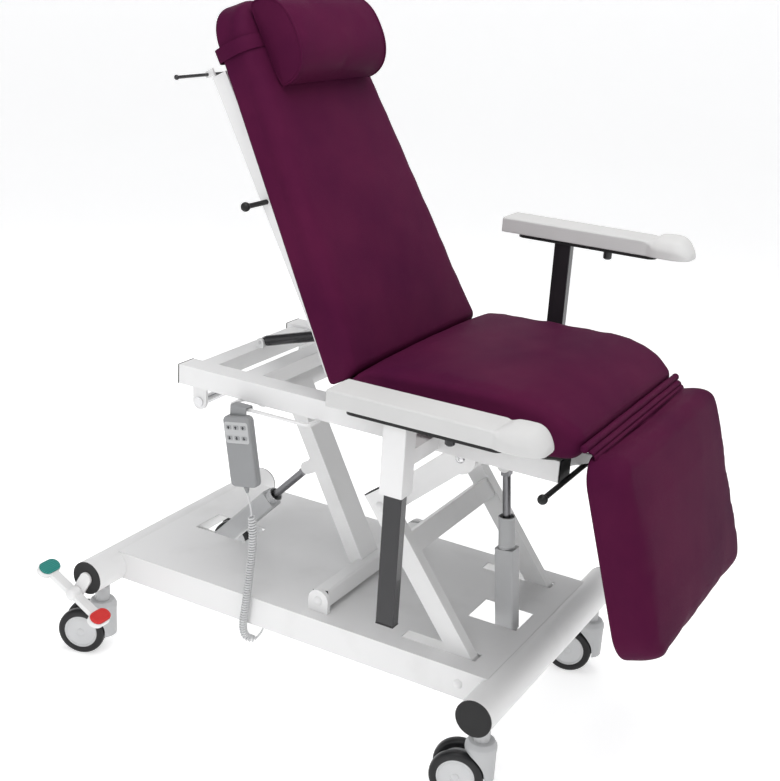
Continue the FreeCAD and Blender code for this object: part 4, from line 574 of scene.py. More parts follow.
def ring_sections(half: Grid, thick: Grid, crown: Grid, front: Grid, back: Grid,
                  dip: Grid, pocket: Grid | None = None, depth: Grid | None = None) -> Grid:
    """Closed cushion sections: flat back, drawn-in sides, rounded edges, crowned front.

    Each section is a rounded rectangle from arcs and lines; the front line rises by
    crown * (1 - (x/half)^2), and the side lines draw in by dip * sin(pi * height share).

    Args:
        half: half widths, one per station.
        thick: heights of the sides.
        crown: rise of the middle above the sides.
        front: radius of the two front edges.
        back: radius of the two back edges.
        dip: how far the middle of each side draws in.
        pocket: half width of a recess in the back, if it has one.
        depth: how deep that recess is at each station.

    Returns:
        Array (stations, points, 2) of x and z.
    """
    cap = np.minimum(half, thick * 0.5) * 0.98
    rf = np.minimum(front, np.minimum(cap, thick - np.minimum(back, cap)))[:, None]
    rb = np.minimum(back, cap)[:, None]
    h, t = half[:, None], thick[:, None]
    q = np.linspace(0, np.pi / 2, 12)[None]
    line = np.linspace(0, 1, 10)[None, 1:-1]
    wide = np.linspace(0, 1, 44)[None, 1:-1]
    right = (h + 0 * line, rb + (t - rf - rb) * line)
    corner = (h - rf + rf * np.cos(q), t - rf + rf * np.sin(q))
    top = (h - rf - 2 * (h - rf) * wide, t + 0 * wide)
    corner2 = (-(h - rf) - rf * np.sin(q), t - rf + rf * np.cos(q))
    left = (-h + 0 * line, (t - rf) + (rb - t + rf) * line)
    low = (-(h - rb) - rb * np.cos(q), rb - rb * np.sin(q))
    flat = np.linspace(0, 1, 5)[None, 1:]
    floor = np.linspace(-1, 1, 14)[None]
    pocket = (0.6 * half if pocket is None else pocket)[:, None]
    pocket = np.minimum(pocket, h - rb - 0.001)
    depth = (0 * half if depth is None else depth)[:, None]
    under = (-(h - rb) + (h - rb - pocket) * flat, 0 * flat)
    inside = ((pocket - 0.0004) * floor, depth + 0 * floor)
    under2 = (pocket + (h - rb - pocket) * (flat - 0.25), 0 * flat)
    low2 = (h - rb + rb * np.sin(q), rb - rb * np.cos(q))
    parts = (right, corner, top, corner2, left, low, under, inside, under2, low2)
    x = np.concatenate([p[0] + 0 * h for p in parts], 1)
    z = np.concatenate([p[1] + 0 * h for p in parts], 1)
    share = np.clip(x / np.maximum(h, 1e-6), -1, 1)
    z = z + crown[:, None] * (1 - share ** 2) * np.clip(z / t, 0, 1) ** 3
    x = x - np.sign(x) * dip[:, None] * np.sin(np.pi * np.clip(z / t, 0, 1)) * np.abs(share) ** 6
    return np.stack([x, z], -1)


def corner_loss(distance: Grid, radius: float) -> Grid:
    """How far a rounded corner draws the edge in, at a distance from the end."""
    d = np.clip(distance, 0, radius)
    return radius - np.sqrt(np.maximum(radius ** 2 - (radius - d) ** 2, 0))


def end_crowded(length: float, count: int = 110) -> Grid:
    """Stations along a length that crowd towards both ends.

    Args:
        length: the length, in metres.
        count: number of stations.

    Returns:
        The stations, from 0 to the length.
    """
    t = np.linspace(0, 1, count)
    ease = (1 - np.cos(np.pi * t)) / 2
    return length * (0.35 * t + 0.65 * ease)


def ripple(points: Grid, size: float, seeds: tuple) -> Grid:
    """Soft unevenness: a sum of sines of the point's place.

    Args:
        points: array of points.
        size: height of the ripple, in metres.
        seeds: (wavelength, phase) pairs.

    Returns:
        One height per point.
    """
    x, y, z = points[..., 0], points[..., 1], points[..., 2]
    total = np.zeros(x.shape)
    for wavelength, phase in seeds:
        k = 2 * np.pi / wavelength
        total = total + np.sin(k * (0.8 * x + 0.35 * y + phase)) * np.sin(
            k * (0.9 * y - 0.3 * x + 0.5 * z + 2.1 * phase))
    return size * total / len(seeds)


@dataclass
class Cushion:
    """A padded slab along a slope: rounded ends, a crowned face and, where it has one, a skirt
    behind that closes round the board."""

    name: str
    node: str
    body: str
    where: Slope
    length: float
    half_foot: float
    half_head: float
    thick: float
    crown: float
    lift: float
    foot_corner: float
    head_corner: float
    edge: float = 0.034
    back_edge: float = 0.010
    dip: float = 0.0022
    start: float = 0.0
    fill: float = 0.8
    skirt: float = 0.0
    rim: float = 0.024

    def sizes(self, y: Grid) -> tuple:
        """Half width, side height and crown at distances from the foot end.

        Args:
            y: the distances.

        Returns:
            Three arrays with one value per distance.
        """
        half = self.half_foot + (self.half_head - self.half_foot) * y / self.length
        half = half - corner_loss(y, self.foot_corner) \
            - corner_loss(self.length - y, self.head_corner)
        roll = np.maximum(corner_loss(y, self.edge), corner_loss(self.length - y, self.edge))
        thick = self.thick - roll
        crown = self.crown * (1 - 0.8 * roll / self.edge) * np.clip(
            np.minimum(y, self.length - y) / 0.12, 0, 1) ** 0.5
        return half, thick, crown

    def grid(self) -> Grid:
        """Rings of points of the whole cushion in the row frame.

        Returns:
            Array (rings, points round, 3).
        """
        y = end_crowded(self.length)
        half, thick, crown = self.sizes(y)
        ones = np.ones_like(y)
        lap = self.skirt * ones
        depth = np.where(y > self.rim, lap, 0.0)
        corner = self.foot_corner / 2
        pocket = self.half_foot - self.rim + 0.0003 - np.maximum(0, self.rim + corner - y)
        ring = ring_sections(half, thick + lap, crown, self.edge * ones, self.back_edge * ones,
                             self.dip * ones, pocket, depth)
        local = np.stack([ring[..., 0], y[:, None] + self.start + 0 * ring[..., 0],
                          ring[..., 1] + self.lift - lap[:, None]], -1)
        face = np.clip((ring[..., 1] / (thick + lap)[:, None]), 0, 1) ** 2
        local[..., 2] += ripple(local, 0.0009, ((0.31, 0.1), (0.19, 0.45), (0.11, 0.8))) * face
        return self.where.out(local)

    def build(self) -> object:
        """Returns:
            The cushion.
        """
        piece = skin(self.name, self.grid())
        Stuffing().settle(piece, self.freedom)
        finish(piece, Finish.PLUM, "vinyl_plum", self.body, self.node)
        return piece

    def freedom(self, points: Grid) -> Grid:
        """How far each point may follow the swelling, 0 to 1.

        Nothing moves on the board side and at the hinged end; the padded face is free. The
        hinged end is the foot of a cushion that starts at 0, and the head of any other.

        Args:
            points: array (points, 3).

        Returns:
            One share per point.
        """
        along, off = self.where.back(points)
        hinge = along - self.start if self.start == 0 else self.start + self.length - along
        return eased_step((off - self.lift - 0.006) / 0.035) * eased_step(hinge / 0.18)


def finish(piece: object, how: Finish, slot: str, body: str, *nodes: str) -> object:
    """Dress a piece and hang it on its body.

    Args:
        piece: the new object, in its place.
        how: its finish.
        slot: the record's material slot.
        body: the body it rides on.
        nodes: CAD nodes it stands for.

    Returns:
        The piece.
    """
    piece.data.materials.clear()
    piece.data.materials.append(how.material())
    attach(piece, body)
    if nodes:
        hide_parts(*nodes)
    LOG.info("%s on %s: %d faces", piece.name, body, len(getattr(piece.data, "polygons", ())))
    return piece


def hoop(name: str, grid: Grid) -> object:
    """A skin that closes on itself both ways, such as a ring or a piping loop.

    Args:
        name: the object's name.
        grid: array (stations, points round, 3); the last station joins the first.

    Returns:
        The new object, at the origin.
    """
    n, m, _ = grid.shape
    index = np.arange(n * m).reshape(n, m)
    after = np.roll(index, -1, 0)
    quads = np.stack([index, np.roll(index, -1, 1), np.roll(after, -1, 1), after], -1)
    mesh = bpy.data.meshes.new(name)
    mesh.from_pydata(grid.reshape(-1, 3).tolist(), [], quads.reshape(-1, 4).tolist())
    face_outward(mesh, False)
    return stand(name, mesh)


def tube_rings(path: Grid, radius: object, round_: int = 12, closed: bool = False) -> Grid:
    """Rings across a path: each point plus radius times two normals turned round.

    Args:
        path: array (points, 3).
        radius: one radius, or one per point.
        round_: points round each ring.
        closed: whether the path's end joins its start.

    Returns:
        Array (points, round_, 3).
    """
    ahead = np.roll(path, -1, 0) - np.roll(path, 1, 0)
    if not closed:
        ahead[0], ahead[-1] = path[1] - path[0], path[-1] - path[-2]
    ahead /= np.linalg.norm(ahead, axis=1, keepdims=True)
    guide = np.array([0.0, 0.0, 1.0]) if abs(ahead[:, 2]).mean() < 0.7 else np.array([1.0, 0, 0])
    side = np.cross(ahead, guide)
    side /= np.linalg.norm(side, axis=1, keepdims=True)
    up = np.cross(side, ahead)
    t = turn(round_)
    r = np.broadcast_to(radius, (len(path),))[:, None, None]
    return path[:, None] + r * (side[:, None] * np.cos(t)[None, :, None]
                                + up[:, None] * np.sin(t)[None, :, None])


def capsule(flat: float, radius: float, count: int = 48) -> Grid:
    """Outline of two half circles joined by straight runs, flat apart, as (a, b) points.

    Args:
        flat: how far each half circle's centre lies from the middle.
        radius: their radius.
        count: points round.

    Returns:
        Array (count, 2).
    """
    t = turn(count)
    a = radius * np.cos(t) + flat * np.tanh(6 * np.cos(t))
    return np.stack([a, radius * np.sin(t)], -1)


def squircle(half_a: float, half_b: float, corner: float, count: int = 64) -> Grid:
    """Rounded rectangle: a circle of the corner's radius pushed out to the four corners.

    Args:
        half_a: half width along a.
        half_b: half width along b.
        corner: the corners' radius.
        count: points round.

    Returns:
        Array (count, 2).
    """
    t = (np.arange(count) + 0.5) * 2 * np.pi / count
    a = corner * np.cos(t) + (half_a - corner) * np.sign(np.cos(t))
    b = corner * np.sin(t) + (half_b - corner) * np.sign(np.sin(t))
    return np.stack([a, b], -1)


def strip(corners: list, radius: float, steps: int, flat: Grid, centre: tuple) -> Grid:
    """A section swept along a line in the XZ plane, rounded at its corners.

    Args:
        corners: the line's (x, z) pairs.
        radius: trim length at each corner, in metres.
        steps: points on each rounding.
        flat: the section, as (along y, off the line) points.
        centre: the (x, z) point that the section's second axis faces away from.

    Returns:
        Array (points of the line, points of the section, 3), with y about 0.
    """
    path = np.array(rounded_profile(corners, radius, steps))
    ahead = np.gradient(path, axis=0)
    ahead /= np.linalg.norm(ahead, axis=1, keepdims=True)
    out = np.stack([ahead[:, 1], -ahead[:, 0]], -1)
    out *= np.sign(((path - centre) * out).sum(1))[:, None]
    x, z = (path[:, i, None] + out[:, i, None] * flat[:, 1] for i in (0, 1))
    return np.stack([x, flat[:, 0] + 0 * x, z], -1)


def button(outline: object, profile: list) -> Grid:
    """A low moulded form: the outline drawn in by each inset at each height.

    Args:
        outline: function of an inset that gives (a, b) points.
        profile: (inset, height) pairs from the underside up and in.

    Returns:
        Array (rings, points, 3) of a, b, height.
    """
    rings = []
    for inset, height in profile:
        ab = outline(inset)
        rings.append(np.concatenate([ab, np.full((len(ab), 1), height)], 1))
    return np.stack(rings)


def softened(node: str, width: float, angle: float = 34.0) -> object:
    """Stand a copy with eased edges in for a CAD node.

    Args:
        node: the node's name.
        width: how wide the eased edge is, in metres.
        angle: edges sharper than this many degrees are eased.

    Returns:
        The copy.
    """
    source = frame["nodes"][node]
    mesh = source.data.copy()
    work = bmesh.new()
    work.from_mesh(mesh)
    bmesh.ops.remove_doubles(work, verts=work.verts, dist=1e-6)
    shared = [edge for edge in work.edges if len(edge.link_faces) > 2]
    bmesh.ops.split_edges(work, edges=shared)
    bmesh.ops.dissolve_limit(work, angle_limit=math.radians(0.4), verts=work.verts,
                             edges=work.edges)
    weight = work.edges.layers.float.new("bevel_weight_edge")
    for edge in work.edges:
        turned = len(edge.link_faces) == 2 and edge.calc_face_angle() > math.radians(angle)
        edge[weight] = float(turned and edge.calc_length() > 6 * width)
        edge.smooth = not turned
    work.to_mesh(mesh)
    work.free()
    mesh.polygons.foreach_set("use_smooth", np.ones(len(mesh.polygons), bool))
    piece = stand(node + "_eased", mesh)
    ease = piece.modifiers.new("eased edges", "BEVEL")
    ease.width = width
    ease.segments = 2
    ease.limit_method = "WEIGHT"
    level = piece.modifiers.new("level faces", "WEIGHTED_NORMAL")
    level.keep_sharp = True
    finish(piece, SLOT_FINISH[SLOT_OF[node]], SLOT_OF[node], source["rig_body"], node)
    return piece


# Stuffing

@dataclass
class Stuffing:
    """Pressure in a sewn cover, from a cloth simulation on an even copy of the cushion."""

    cap: float = 0.006
    shrink: float = 0.0025
    cell: float = 0.006
    pressure: float = 4.0
    frames: int = 20

    def cover(self, piece: object) -> object:
        """An evenly remeshed copy of a piece.

        Args:
            piece: the cushion.

        Returns:
            The copy, with no modifier left on it.
        """
        rough = stand("rough_cover", piece.data.copy())
        even = rough.modifiers.new("even cells", "REMESH")
        even.mode = "VOXEL"
        even.voxel_size = self.cell
        graph = bpy.context.evaluated_depsgraph_get()
        mesh = bpy.data.meshes.new_from_object(rough.evaluated_get(graph))
        bpy.data.objects.remove(rough)
        return stand("cover", mesh)

    def swelling(self, cover: object) -> tuple:
        """Blow the cover up from a slightly smaller shape.

        Args:
            cover: the even copy.

        Returns:
            The cover's first points and how far each one has moved, capped.
        """
        start = mesh_points(cover.data)
        small = start - self.shrink * mesh_points(cover.data, "normal")
        cover.data.vertices.foreach_set("co", small.astype(np.float32).ravel())
        cloth = cover.modifiers.new("pressure", "CLOTH")
        for key, value in {"quality": 4, "mass": 0.3, "tension_stiffness": 30.0,
                           "compression_stiffness": 30.0, "shear_stiffness": 12.0,
                           "bending_stiffness": 1.2, "use_pressure": True,
                           "uniform_pressure_force": self.pressure}.items():
            setattr(cloth.settings, key, value)
        cloth.settings.effector_weights.gravity = 0.0
        cloth.collision_settings.use_collision = False
        cloth.point_cache.frame_start = 1
        cloth.point_cache.frame_end = self.frames
        for step in range(1, self.frames + 1):
            bpy.context.scene.frame_set(step)
        graph = bpy.context.evaluated_depsgraph_get()
        mesh = bpy.data.meshes.new_from_object(cover.evaluated_get(graph))
        moved = mesh_points(mesh) - start
        bpy.data.meshes.remove(mesh)
        bpy.context.scene.frame_set(1)
        far = np.linalg.norm(moved, axis=1, keepdims=True)
        return start, moved * np.minimum(1.0, self.cap / np.maximum(far, 1e-9))

    def settle(self, piece: object, freedom: object) -> None:
        """Carry the swelling over to the cushion's own skin.

        Args:
            piece: the cushion.
            freedom: function of points that gives how far each may follow, 0 to 1.
        """
        cover = self.cover(piece)
        start, moved = self.swelling(cover)
        bpy.data.objects.remove(cover)
        tree = KDTree(len(start))
        for i, point in enumerate(start):
            tree.insert(point, i)
        tree.balance()
        skin_points = mesh_points(piece.data)
        offset = np.zeros_like(skin_points)
        for i, point in enumerate(skin_points):
            near = tree.find_n(point, 10)
            weight = np.array([1.0 / (n[2] ** 2 + 1e-5) for n in near])
            offset[i] = (weight[:, None] * moved[[n[1] for n in near]]).sum(0) / weight.sum()
        offset *= freedom(skin_points)[:, None]
        piece.data.vertices.foreach_set(
            "co", (skin_points + offset).astype(np.float32).ravel())
        piece.data.update()
        LOG.info("%s settled: %d cover points, largest move %.4f", piece.name, len(start),
                 float(np.linalg.norm(offset, axis=1).max()))


def eased_step(value: Grid) -> Grid:
    """0 below 0 and 1 above 1, with a smooth rise between them."""
    t = np.clip(value, 0, 1)
    return t * t * (3 - 2 * t)


# The room

@dataclass
class Studio:
    """Camera where the photographer stood, a pale sweep and soft lights."""

    place: tuple = (-2.645, -1.3975, 1.8257)
    ahead: tuple = (0.8303, 0.4510, -0.3275)
    roll: float = 3.68
    lens: float = 59.64

    def camera(self) -> None:
        """Set the camera: its axes come from the view line, turned by the roll."""
        data = bpy.data.cameras.new("photo view")
        data.lens, data.sensor_width, data.sensor_fit = self.lens, 36.0, "HORIZONTAL"
        ahead = Vector(self.ahead).normalized()
        right = ahead.cross(Vector((0, 0, 1))).normalized()
        up = right.cross(ahead)
        w = math.radians(self.roll)
        side = right * math.cos(w) + up * math.sin(w)
        top = up * math.cos(w) - right * math.sin(w)
        view = stand("photo view", data)
        view.matrix_world = Matrix((
            (side.x, top.x, -ahead.x, self.place[0]), (side.y, top.y, -ahead.y, self.place[1]),
            (side.z, top.z, -ahead.z, self.place[2]), (0, 0, 0, 1)))
        bpy.context.scene.camera = view

    def floor(self) -> None:
        """A round pale floor: flat in the middle, rising as the cube of the distance beyond."""
        r = np.linspace(0.25, 14, 60)
        t = turn(96)
        z = np.where(r > 7, 0.02 * (r - 7) ** 3, 0.0)
        grid = np.stack([r[:, None] * np.cos(t), r[:, None] * np.sin(t),
                         np.repeat(z[:, None], 96, 1)], -1)
        index = np.arange(grid.shape[0] * 96).reshape(-1, 96)
        quads = np.stack([index[:-1], index[1:], np.roll(index[1:], -1, 1),
                          np.roll(index[:-1], -1, 1)], -1).reshape(-1, 4)
        fan = np.stack([np.full(96, index.size), index[0], np.roll(index[0], -1)], -1)
        mesh = bpy.data.meshes.new("pale_floor")
        mesh.from_pydata(grid.reshape(-1, 3).tolist() + [(0.0, 0.0, 0.0)], [],
                         quads.tolist() + fan.tolist())
        mesh.polygons.foreach_set("use_smooth", np.ones(len(mesh.polygons), bool))
        piece = stand("pale_floor", mesh)
        b = Board("pale floor")
        cloud = b.noise(2.0, 2.0)
        b.set(Base_Color=b.mix(cloud, (0.90, 0.90, 0.90), (0.92, 0.92, 0.92)), Roughness=0.8,
              Emission_Color=(1.0, 1.0, 1.0), Emission_Strength=0.50)
        mesh.materials.append(b.material)

    def lamp(self, name: str, power: float, size: float, at: tuple, to: tuple,
             tint: tuple = (1, 1, 1)) -> None:
        """One square soft light at a place, facing a point.

        Args:
            name: the lamp's name.
            power: watts.
            size: the square's side, in metres.
            at: its place.
            to: the point that it faces.
            tint: its colour.
        """
        data = bpy.data.lights.new(name, "AREA")
        data.energy, data.size, data.color = power, size, tint
        lamp = stand(name, data)
        lamp.location = at
        lamp.rotation_euler = (Vector(to) - Vector(at)).to_track_quat("-Z", "Y").to_euler()

    def build(self) -> None:
        """Make the camera, the floor, the lamps and the sky."""
        self.camera()
        self.floor()
        self.lamp("key", 38, 2.4, (-3.6, -0.5, 3.4), (0, 0, 0.6), (0.985, 0.985, 1.0))
        self.lamp("top", 150, 3.6, (-0.3, -0.7, 4.8), (0, 0, 0.4), (1.0, 0.99, 0.98))
        self.lamp("rim", 14, 2.5, (2.8, 2.6, 3.0), (0, 0, 0.8))
        bpy.context.scene.view_settings.view_transform = "Standard"
        world = bpy.data.worlds.new("pale sky")
        bpy.context.scene.world = world
        world.use_nodes = True
        world.node_tree.nodes["Background"].inputs["Color"].default_value = (0.95, 0.96, 1.0, 1)
        world.node_tree.nodes["Background"].inputs["Strength"].default_value = 0.24


# Handset cord

@dataclass
class HandsetCord:
    """A curled lead from the handset's relief down to the gland under the deck."""

    route: tuple = ((-0.318, 0.1135, 0.5660), (-0.312, 0.092, 0.493), (-0.307, 0.114, 0.290),
                    (-0.305, 0.132, 0.158), (-0.262, 0.085, 0.158), (-0.262, 0.085, 0.2552))
    wire: float = 0.0026
    coil: float = 0.0080
    pitch: float = 0.0072
    plain_top: float = 0.055
    plain_foot: float = 0.10
    per_turn: int = 14

    def spline(self, name: str, points: Grid) -> object:
        """A curve of one open NURBS spline through its control points.

        Args:
            name: the object's name.
            points: array (control points, 3).

        Returns:
            The curve object.
        """
        data = bpy.data.curves.new(name, "CURVE")
        data.dimensions = "3D"
        line = data.splines.new("NURBS")
        line.points.add(len(points) - 1)
        flat = np.concatenate([points, np.ones((len(points), 1))], 1)
        line.points.foreach_set("co", flat.astype(np.float32).ravel())
        line.order_u = 3
        line.use_endpoint_u = True
        return stand(name, data)

    def drawn(self) -> Grid:
        """Points read from the route's own spline.

        Returns:
            Array (points, 3).
        """
        route = np.array(self.route) + (0, SHIFT, 0)
        guide = self.spline("cord_guide", route)
        guide.data.resolution_u = 48
        line = mesh_points(bpy.data.meshes.new_from_object(guide))
        bpy.data.objects.remove(guide)
        return line

    def curled(self) -> tuple:
        """Control points: plain ends, and a helix of even pitch between them.

        The helix is path + r(s) * (n cos(a) + b sin(a)), with a growing by a full turn each
        pitch, and r(s) easing up from nothing over a turn and a half at both ends.

        Returns:
            The control points.
        """
        line = self.drawn()
        run = np.concatenate([[0], np.cumsum(np.linalg.norm(np.diff(line, axis=0), axis=1))])
        total = run[-1]
        first, last = self.plain_top, total - self.plain_foot
        turns = round((last - first) / self.pitch)
        s = np.linspace(first, last, turns * self.per_turn + 1)
        near = np.stack([np.interp(s, run, line[:, i]) for i in range(3)], -1)
        ahead = np.gradient(near, axis=0)
        for _ in range(30):
            ahead[1:-1] = (ahead[:-2] + ahead[1:-1] + ahead[2:]) / 3
        ahead /= np.linalg.norm(ahead, axis=1, keepdims=True)
        n = np.cross(ahead, (0.0, 1.0, 0.0))
        n /= np.linalg.norm(n, axis=1, keepdims=True)
        b = np.cross(ahead, n)
        ease = np.clip(np.minimum(s - first, last - s) / (1.6 * self.pitch), 0, 1)
        r = (self.coil * ease * ease * (3 - 2 * ease))[:, None]
        a = (np.arange(len(s)) * 2 * np.pi / self.per_turn)[:, None]
        helix = near + r * (n * np.cos(a) + b * np.sin(a))
        top = np.stack([np.interp(np.linspace(0, first * 0.92, 5), run, line[:, i])
                        for i in range(3)], -1)
        foot = np.stack([np.interp(np.linspace(last + 0.004, total, 7), run, line[:, i])
                         for i in range(3)], -1)
        return np.concatenate([top, helix, foot])

    def build(self) -> object:
        """Returns:
            The cord.
        """
        points = self.curled()
        piece = self.spline("handset_lead", points)
        piece.data.bevel_depth = self.wire
        piece.data.bevel_resolution = 2
        piece.data.resolution_u = 2
        finish(piece, Finish.CORD, "cord_grey", "base", "handset_cord")
        return piece


# Upholstery

BACK = Slope(-0.085, 0.874, 61.5)
LEG = Slope(-0.706, 0.850, 73.6)


@dataclass
class SeatCushion:
    """The seat: low behind, full in the middle and falling to a soft nose."""

    rear: float = 0.116
    front: float = 0.692
    half: float = 0.318
    total: float = 0.122
    crown: float = 0.010
    nose: float = 0.034
    floor: float = 0.8386
    shares: tuple = (0.0, 0.025, 0.06, 0.087, 0.13, 0.2, 0.3, 0.43, 0.6, 0.735, 0.805, 0.87,
                     0.93, 0.97, 0.99, 1.0)
    heights: tuple = (0.43, 0.51, 0.61, 0.76, 0.87, 0.915, 0.94, 0.975, 0.995, 1.0, 0.965, 0.885,
                      0.76, 0.63, 0.54, 0.45)

    def grid(self) -> Grid:
        """Rings of points of the whole cushion in the row frame.

        Returns:
            Array (rings, points round, 3).
        """
        long = self.front - self.rear
        y = end_crowded(long, 140)
        high = np.interp(y / long, self.shares, self.heights)
        kernel = np.hanning(7)[1:-1]
        padded = np.pad(high, 2, mode="edge")
        high = np.convolve(padded, kernel / kernel.sum(), "valid") * self.total
        low = corner_loss(long - y, self.nose)
        half = self.half - 0.3 * corner_loss(y, 0.06) - 0.5 * corner_loss(long - y, 0.085)
        crown = self.crown * high / self.total
        ones = np.ones_like(y)
        near_front = eased_step(1 - (long - y) / 0.24)
        ring = ring_sections(half, high - crown - low, crown,
                             (0.016 + 0.016 * near_front) * ones,
                             0.012 + 0.026 * near_front, 0.0016 * ones)
        local = np.stack([ring[..., 0], -(y[:, None] + self.rear) + 0 * ring[..., 0],
                          ring[..., 1] + low[:, None] + self.floor], -1)
        face = np.clip(ring[..., 1] / high[:, None], 0, 1) ** 2
        local[..., 2] += ripple(local, 0.001, ((0.33, 0.2), (0.21, 0.6), (0.12, 0.9))) * face
        local[..., 1] += SHIFT
        return local

    def build(self) -> None:
        """Make the cushion, the rolled flap in front of it and the cover at the hinge."""
        piece = skin("seat_padding", self.grid())
        Stuffing(cap=0.005).settle(piece, self.freedom)
        finish(piece, Finish.PLUM, "vinyl_plum", "seat_frame", "seat_cushion")
        self.fold("seat_flap", 0.009, -0.7013, 0.876, -0.296, 0.296)
        self.wrap()

    def freedom(self, points: Grid) -> Grid:
        """How far each point may follow: the underside, the rear edge and the nose stay.

        Args:
            points: array (points, 3).

        Returns:
            One share per point.
        """
        rear = SHIFT - self.rear - points[:, 1]
        nose = points[:, 1] - (SHIFT - self.front)
        return eased_step((points[:, 2] - self.floor - 0.012) / 0.04) \
            * eased_step((rear - 0.01) / 0.16) * eased_step((nose - 0.004) / 0.16)

    def wrap(self) -> None:
        """The gathered cover at the hinge: a curved sheet over the lugs.

        Its section runs round the hinge's axis; the outer radius dips by a narrow bell where
        the crease is, and both edges close in half circles.
        """
        inner, outer = 0.0160, 0.0232
        steps, spans = 44, 120
        t = np.radians(np.linspace(14, 76, steps))
        crease = np.exp(-((np.degrees(t) - 42) / 7) ** 2)
        r = outer - 0.0034 * crease
        lip = np.linspace(0, np.pi, 9)[1:-1]
        middle, half = (inner + outer) / 2, (outer - inner) / 2
        top_lip = (middle + half * np.cos(lip), t[-1] + half / middle * np.sin(lip))
        low_lip = (middle - half * np.cos(lip), t[0] - half / middle * np.sin(lip))
        radius = np.concatenate([r, top_lip[0], np.full(steps, inner), low_lip[0]])
        angle = np.concatenate([t, top_lip[1], t[::-1], low_lip[1]])
        x = np.concatenate([[-0.2905, -0.2900, -0.2885], np.linspace(-0.2865, 0.2865, spans),
                            [0.2885, 0.2900, 0.2905]])
        close = np.concatenate([[0.35, 0.72, 0.94], np.ones(spans), [0.94, 0.72, 0.35]])
        close = close[:, None]
        wave = 1 + 0.012 * np.sin(34 * x[:, None] + 3 * angle) * (radius > middle)
        reach = middle + (radius * wave - middle) * close
        grid = np.stack([x[:, None] + 0 * reach, SHIFT + LEG.y - reach * np.cos(angle),
                         LEG.z + reach * np.sin(angle)], -1)
        piece = skin("seat_fold", grid)
        piece.data.materials.append(Finish.PLUM.material())
        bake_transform(piece)
        LOG.info("%s between seat_frame and legrest: %d faces", piece.name,
                 len(piece.data.polygons))

    def fold(self, name: str, radius: float, y: float, z: float, start: float,
             end: float) -> None:
        """A soft roll across the chair with round ends; its radius drifts by a slow sine.

        Args:
            name: the piece's name.
            radius: the roll's radius.
            y: its middle's place along the chair.
            z: its middle's height.
            start: its first end across the chair.
            end: its other end.
        """
        t = np.linspace(0, np.pi / 2, 6)
        cap = np.stack([radius * np.sin(t), -radius * np.cos(t)], -1)
        line = np.linspace(start, end, 60)
        body = np.stack([radius * (1 - 0.03 + 0.03 * np.sin(41 * line + y)), line], -1)
        rows = np.concatenate([cap + (0, start), body[1:-1], cap[::-1] * (1, -1) + (0, end)])
        roll = skin(name, Slope(y, z, 0.0).out(lathe_x(rows, 32)))
        finish(roll, Finish.PLUM, "vinyl_plum", "seat_frame")


@dataclass
class SeatBoard:
    """The plywood under the seat: a plate with round front corners and a chamfered front."""

    half: float = 0.294
    rear: float = 0.1163
    front: float = 0.668
    foot: float = 0.8233
    thick: float = 0.015
    corner: float = 0.075

    def outline(self, inset: float) -> Grid:
        """The plate's outline as (x, y), drawn in by inset; its front corners are arcs.

        Args:
            inset: how far it is drawn in, in metres.

        Returns:
            Array (points, 2).
        """
        t = np.linspace(0, np.pi / 2, 14)
        h, r = self.half - inset, self.corner
        x = np.concatenate([h - r + r * np.cos(t), -(h - r) - r * np.sin(t)])
        y = np.concatenate([r * np.sin(t), r * np.cos(t)]) + self.front - inset - r
        x = np.concatenate([[h], x, [-h]])
        y = np.concatenate([[self.rear + inset], y, [self.rear + inset]])
        return np.stack([x, SHIFT - y], -1)

    def build(self) -> None:
        """Make the board."""
        grid = button(self.outline, [(0.012, 0.0), (0.0014, 0.0080), (0.0, 0.0095),
                                     (0.0, self.thick - 0.001), (0.001, self.thick)])
        piece = skin("seat_plywood", grid + (0, 0, self.foot), False)
        finish(piece, Finish.BOARD, "board_black", "seat_frame", "seat_board")


